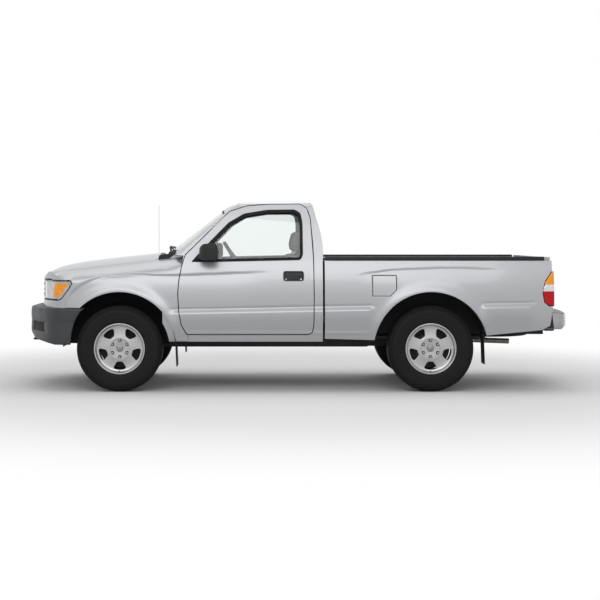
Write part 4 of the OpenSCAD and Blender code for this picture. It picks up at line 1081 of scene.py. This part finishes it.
# Door trims: moulded panels with an arm rest, a pull, a window winder and a
# release lever, clipped to the inside of each door.
for side, hand in sides:
    trim = plate([(-0.88, 0.56), (0.04, 0.54), (0.06, 1.06), (-0.86, 1.06)], 0.03, -0.1165, -0.109)
    pocket = plate([(-0.8, 0.59), (-0.42, 0.59), (-0.42, 0.7), (-0.8, 0.7)], 0.02, -0.126, -0.109)
    join_into(trim, pocket)
    boxes_into(trim, (
        ((-0.5, -0.152, 0.8), (-0.04, -0.114, 0.842), 0.012, 0),
        ((-0.52, -0.126, 0.87), (0.02, -0.115, 0.99), 0.005, 1),
        ((-0.34, -0.168, 0.845), (-0.2, -0.14, 0.86), 0.006, 0),
    ))
    winder = bmesh.new()
    turned(winder, -0.14, -0.115, 0.018, 0.024, 28, (-0.62, 0.83), 0.002)
    bar(winder, (-0.62, -0.137, 0.83), (-0.56, -0.143, 0.752), 0.014, 0.01, 0.003)
    turned(winder, -0.17, -0.14, 0.01, 0.012, 20, (-0.56, 0.752), 0.002)
    bar(winder, (-0.7, -0.124, 0.935), (-0.63, -0.128, 0.935), 0.012, 0.018, 0.003)
    join_into(trim, winder, 2)
    onto_side(trim, side)
    finishes = [trim_plastic, seat_cloth, black_plastic]
    made(trim, f"door_trim_{hand}", f"door_{hand}", finishes, (), 30)

# Wipers: black arms with an arched bridge and a rubber blade, on pivots in the
# cowl at the foot of the windshield.


def on_screen(y, up, out):
    """A point up the windshield from its foot, and out from its face."""
    return (
        -1.092 + 0.107 * y * y + 0.79 * up - 0.61 * out, y,
        1.141 + 0.036 * y * y + 0.61 * up + 0.79 * out,
    )


wipers = bmesh.new()
for y in (-0.56, 0.02):
    path = [
        on_screen(y, 0.004, 0.022), on_screen(y + 0.04, 0.02, 0.06), on_screen(y + 0.12, 0.034, 0.068),
        on_screen(y + 0.3, 0.046, 0.04),
    ]
    for start, end in zip(path, path[1:]):
        bar(wipers, start, end, 0.012, 0.016, 0.004)
    bar(wipers, on_screen(y + 0.1, 0.048, 0.016), on_screen(y + 0.5, 0.048, 0.016), 0.008, 0.012, 0.002)
    bar(wipers, on_screen(y + 0.05, 0.048, 0.006), on_screen(y + 0.55, 0.048, 0.006), 0.006, 0.01, 0.001)
    ball_into(wipers, on_screen(y, -0.004, 0.018), 0.022, 24, 12)
made(wipers, "wipers", "root", [black_plastic], (), 30)

# Load bed lining: pressed ribs along the floor, tie hooks, and the tailgate's
# handle and inner ribs.
ribs = bmesh.new()
for k in range(11):
    y = -0.45 + 0.09 * k
    box_into(ribs, (0.275, y - 0.022, 0.738), (2.075, y + 0.022, 0.7475), 0.0042)
made(ribs, "bed_ribs", "root", [silver_paint], (), 40)
hooks = bmesh.new()
hook_z = 1.03
for x in (0.42, 1.95):
    for side in (-1, 1):
        wall, loop = side * 0.7185, side * 0.7
        for (x0, y0), (x1, y1) in (
            ((x - 0.035, wall), (x - 0.035, loop)), ((x + 0.035, wall), (x + 0.035, loop)),
            ((x - 0.04, loop), (x + 0.04, loop)),
        ):
            bar(hooks, (x0, y0, hook_z), (x1, y1, hook_z), 0.01, 0.01, 0.003)
made(hooks, "tie_hooks", "root", [frame_black], (), 40)
gate = bmesh.new()
boxes_into(gate, (
    ((2.149, -0.11, 0.965), (2.1575, 0.11, 1.045), 0.006, 0),
    ((2.155, -0.085, 1.0), (2.164, 0.085, 1.032), 0.004, 0),
    *(
        ((2.0955, y, z), (2.103, y + 0.55, z + 0.055), 0.006, 1)
        for z in (0.745, 0.86) for y in (-0.6, 0.05)
    ),
))
made(gate, "tailgate_fittings", "tailgate", [black_plastic, silver_paint], (), 40)
blank = bmesh.new()
box_into(blank, (2.3385, -0.155, 0.57), (2.3425, 0.155, 0.645), 0.0012)
for y in (-0.12, 0.12):
    bar(blank, (2.34, y, 0.632), (2.3428, y, 0.632), 0.008, 0.008, 0.002)
made(blank, "blank_plate", "root", [alloy], (), 30)

# Engine fittings: a black rocker cover with its bolts, a fan with its pulley,
# and rubber hoses to the radiator, all bolted or clipped to the engine.
engine = bmesh.new()
box_into(engine, (-1.86, -0.12, 0.925), (-1.4, 0.06, 0.99), 0.02)
box_into(engine, (-1.78, 0.08, 0.925), (-1.48, 0.235, 0.975), 0.016)
for x in (-1.82, -1.63, -1.44):
    for y in (-0.1, 0.04):
        rod_into(engine, (x, y, 0.992), 0.014, (0.008, 0.008), 6)
for x, r in ((-1.932, 0.075), (-1.945, 0.055)):
    rod_into(engine, (x, 0, 0.7), 0.024, (r, r), 40, True)
for k in range(6):
    up, across = math.sin(math.radians(60 * k)), math.cos(math.radians(60 * k))
    root, tip = (-1.96, 0.04 * across, 0.7 + 0.04 * up), (-1.95, 0.19 * across, 0.7 + 0.19 * up)
    bar(engine, root, tip, 0.06, 0.004, 0.0015)
for y, z in ((-0.2, 0.88), (0.2, 0.55)):
    rod_into(engine, (-1.97, y, z), 0.112, (0.02, 0.02), 28, True)
made(engine, "engine_fittings", "root", [black_plastic], (), 35)

# Antenna: a thin steel mast with a ball at its tip, on a black base that is
# screwed to the right fender.
mast = bmesh.new()
mast_x, mast_y = -1.268, 0.725
for low, high, radii in ((1.105, 1.13, (0.011, 0.006)), (1.128, 1.6, (0.0018, 0.0014))):
    rod_into(mast, (mast_x, mast_y, (low + high) / 2), high - low, radii, 20)
ball_into(mast, (mast_x, mast_y, 1.6), 0.0036, 16, 10)
for f in mast.faces:
    f.material_index = int(f.calc_center_median().z < 1.131)
made(mast, "antenna_mast", "root", [bright_steel, black_plastic], ["antenna"], 40)

# Nose fillers: painted strips below the headlamps, from the grille round to the
# fenders.
nose_line = [
    (-2.209, 0.4), (-2.199, 0.46), (-2.187, 0.52), (-2.175, 0.579), (-2.145, 0.645), (-2.113, 0.709),
    (-2.083, 0.753), (-2.038, 0.782), (-1.984, 0.797),
]
strips = bmesh.new()
for side in (-1, 1):
    low = [strips.verts.new((x + 0.006, side * y, 0.695)) for x, y in nose_line]
    high = [strips.verts.new((x + 0.006, side * y, 0.7655)) for x, y in nose_line]
    for k in range(len(nose_line) - 1):
        strips.faces.new((low[k], low[k + 1], high[k + 1], high[k]))
outwards(strips)
bmesh.ops.solidify(strips, geom=strips.faces[:], thickness=0.004)
sweep_nose(strips)
made(strips, "nose_fillers", "root", [silver_paint], (), 40)

# Screen seals: black rubber round the windshield and the rear window, pressed
# over the edge of the glass.
for pane_node, outward in (("windshield", Vector((-0.61, 0, 0.79))), ("rear_window", Vector((1, 0, 0.15)))):
    band = cad_copy(pane_node)
    inside = [f for f in band.faces if f.normal.dot(outward) < 0.8]
    bmesh.ops.delete(band, geom=inside, context="FACES")
    edge_ring(band, 0.02, -0.003, outward * 0.0012)
    made(band, f"{pane_node}_seal", "root", [seal_rubber])

# Frame, suspension, driveline and the other parts kept as they are: black
# painted steel, bare castings, dull exhaust tube and a rubber floor mat.
floor_mat = finish_of("floor_mat", (0.05, 0.052, 0.053), 0.85, 0, (12, 0.3, 0.2), (300, 0.0008))
carried = {
    "chassis_frame": frame_black, "front_suspension": frame_black, "steering_rack": dull_steel,
    "knuckle_left": cast_iron, "knuckle_right": cast_iron, "rear_axle": cast_iron,
    "leaf_springs": frame_black, "driveline": cast_iron, "exhaust": dull_steel,
    "spare_wheel": tyre_rubber, "cab_floor": floor_mat,
}
for name, finish in carried.items():
    if not nodes[name].hide_render:
        slots = nodes[name].data.materials
        slots.clear()
        slots.append(finish)
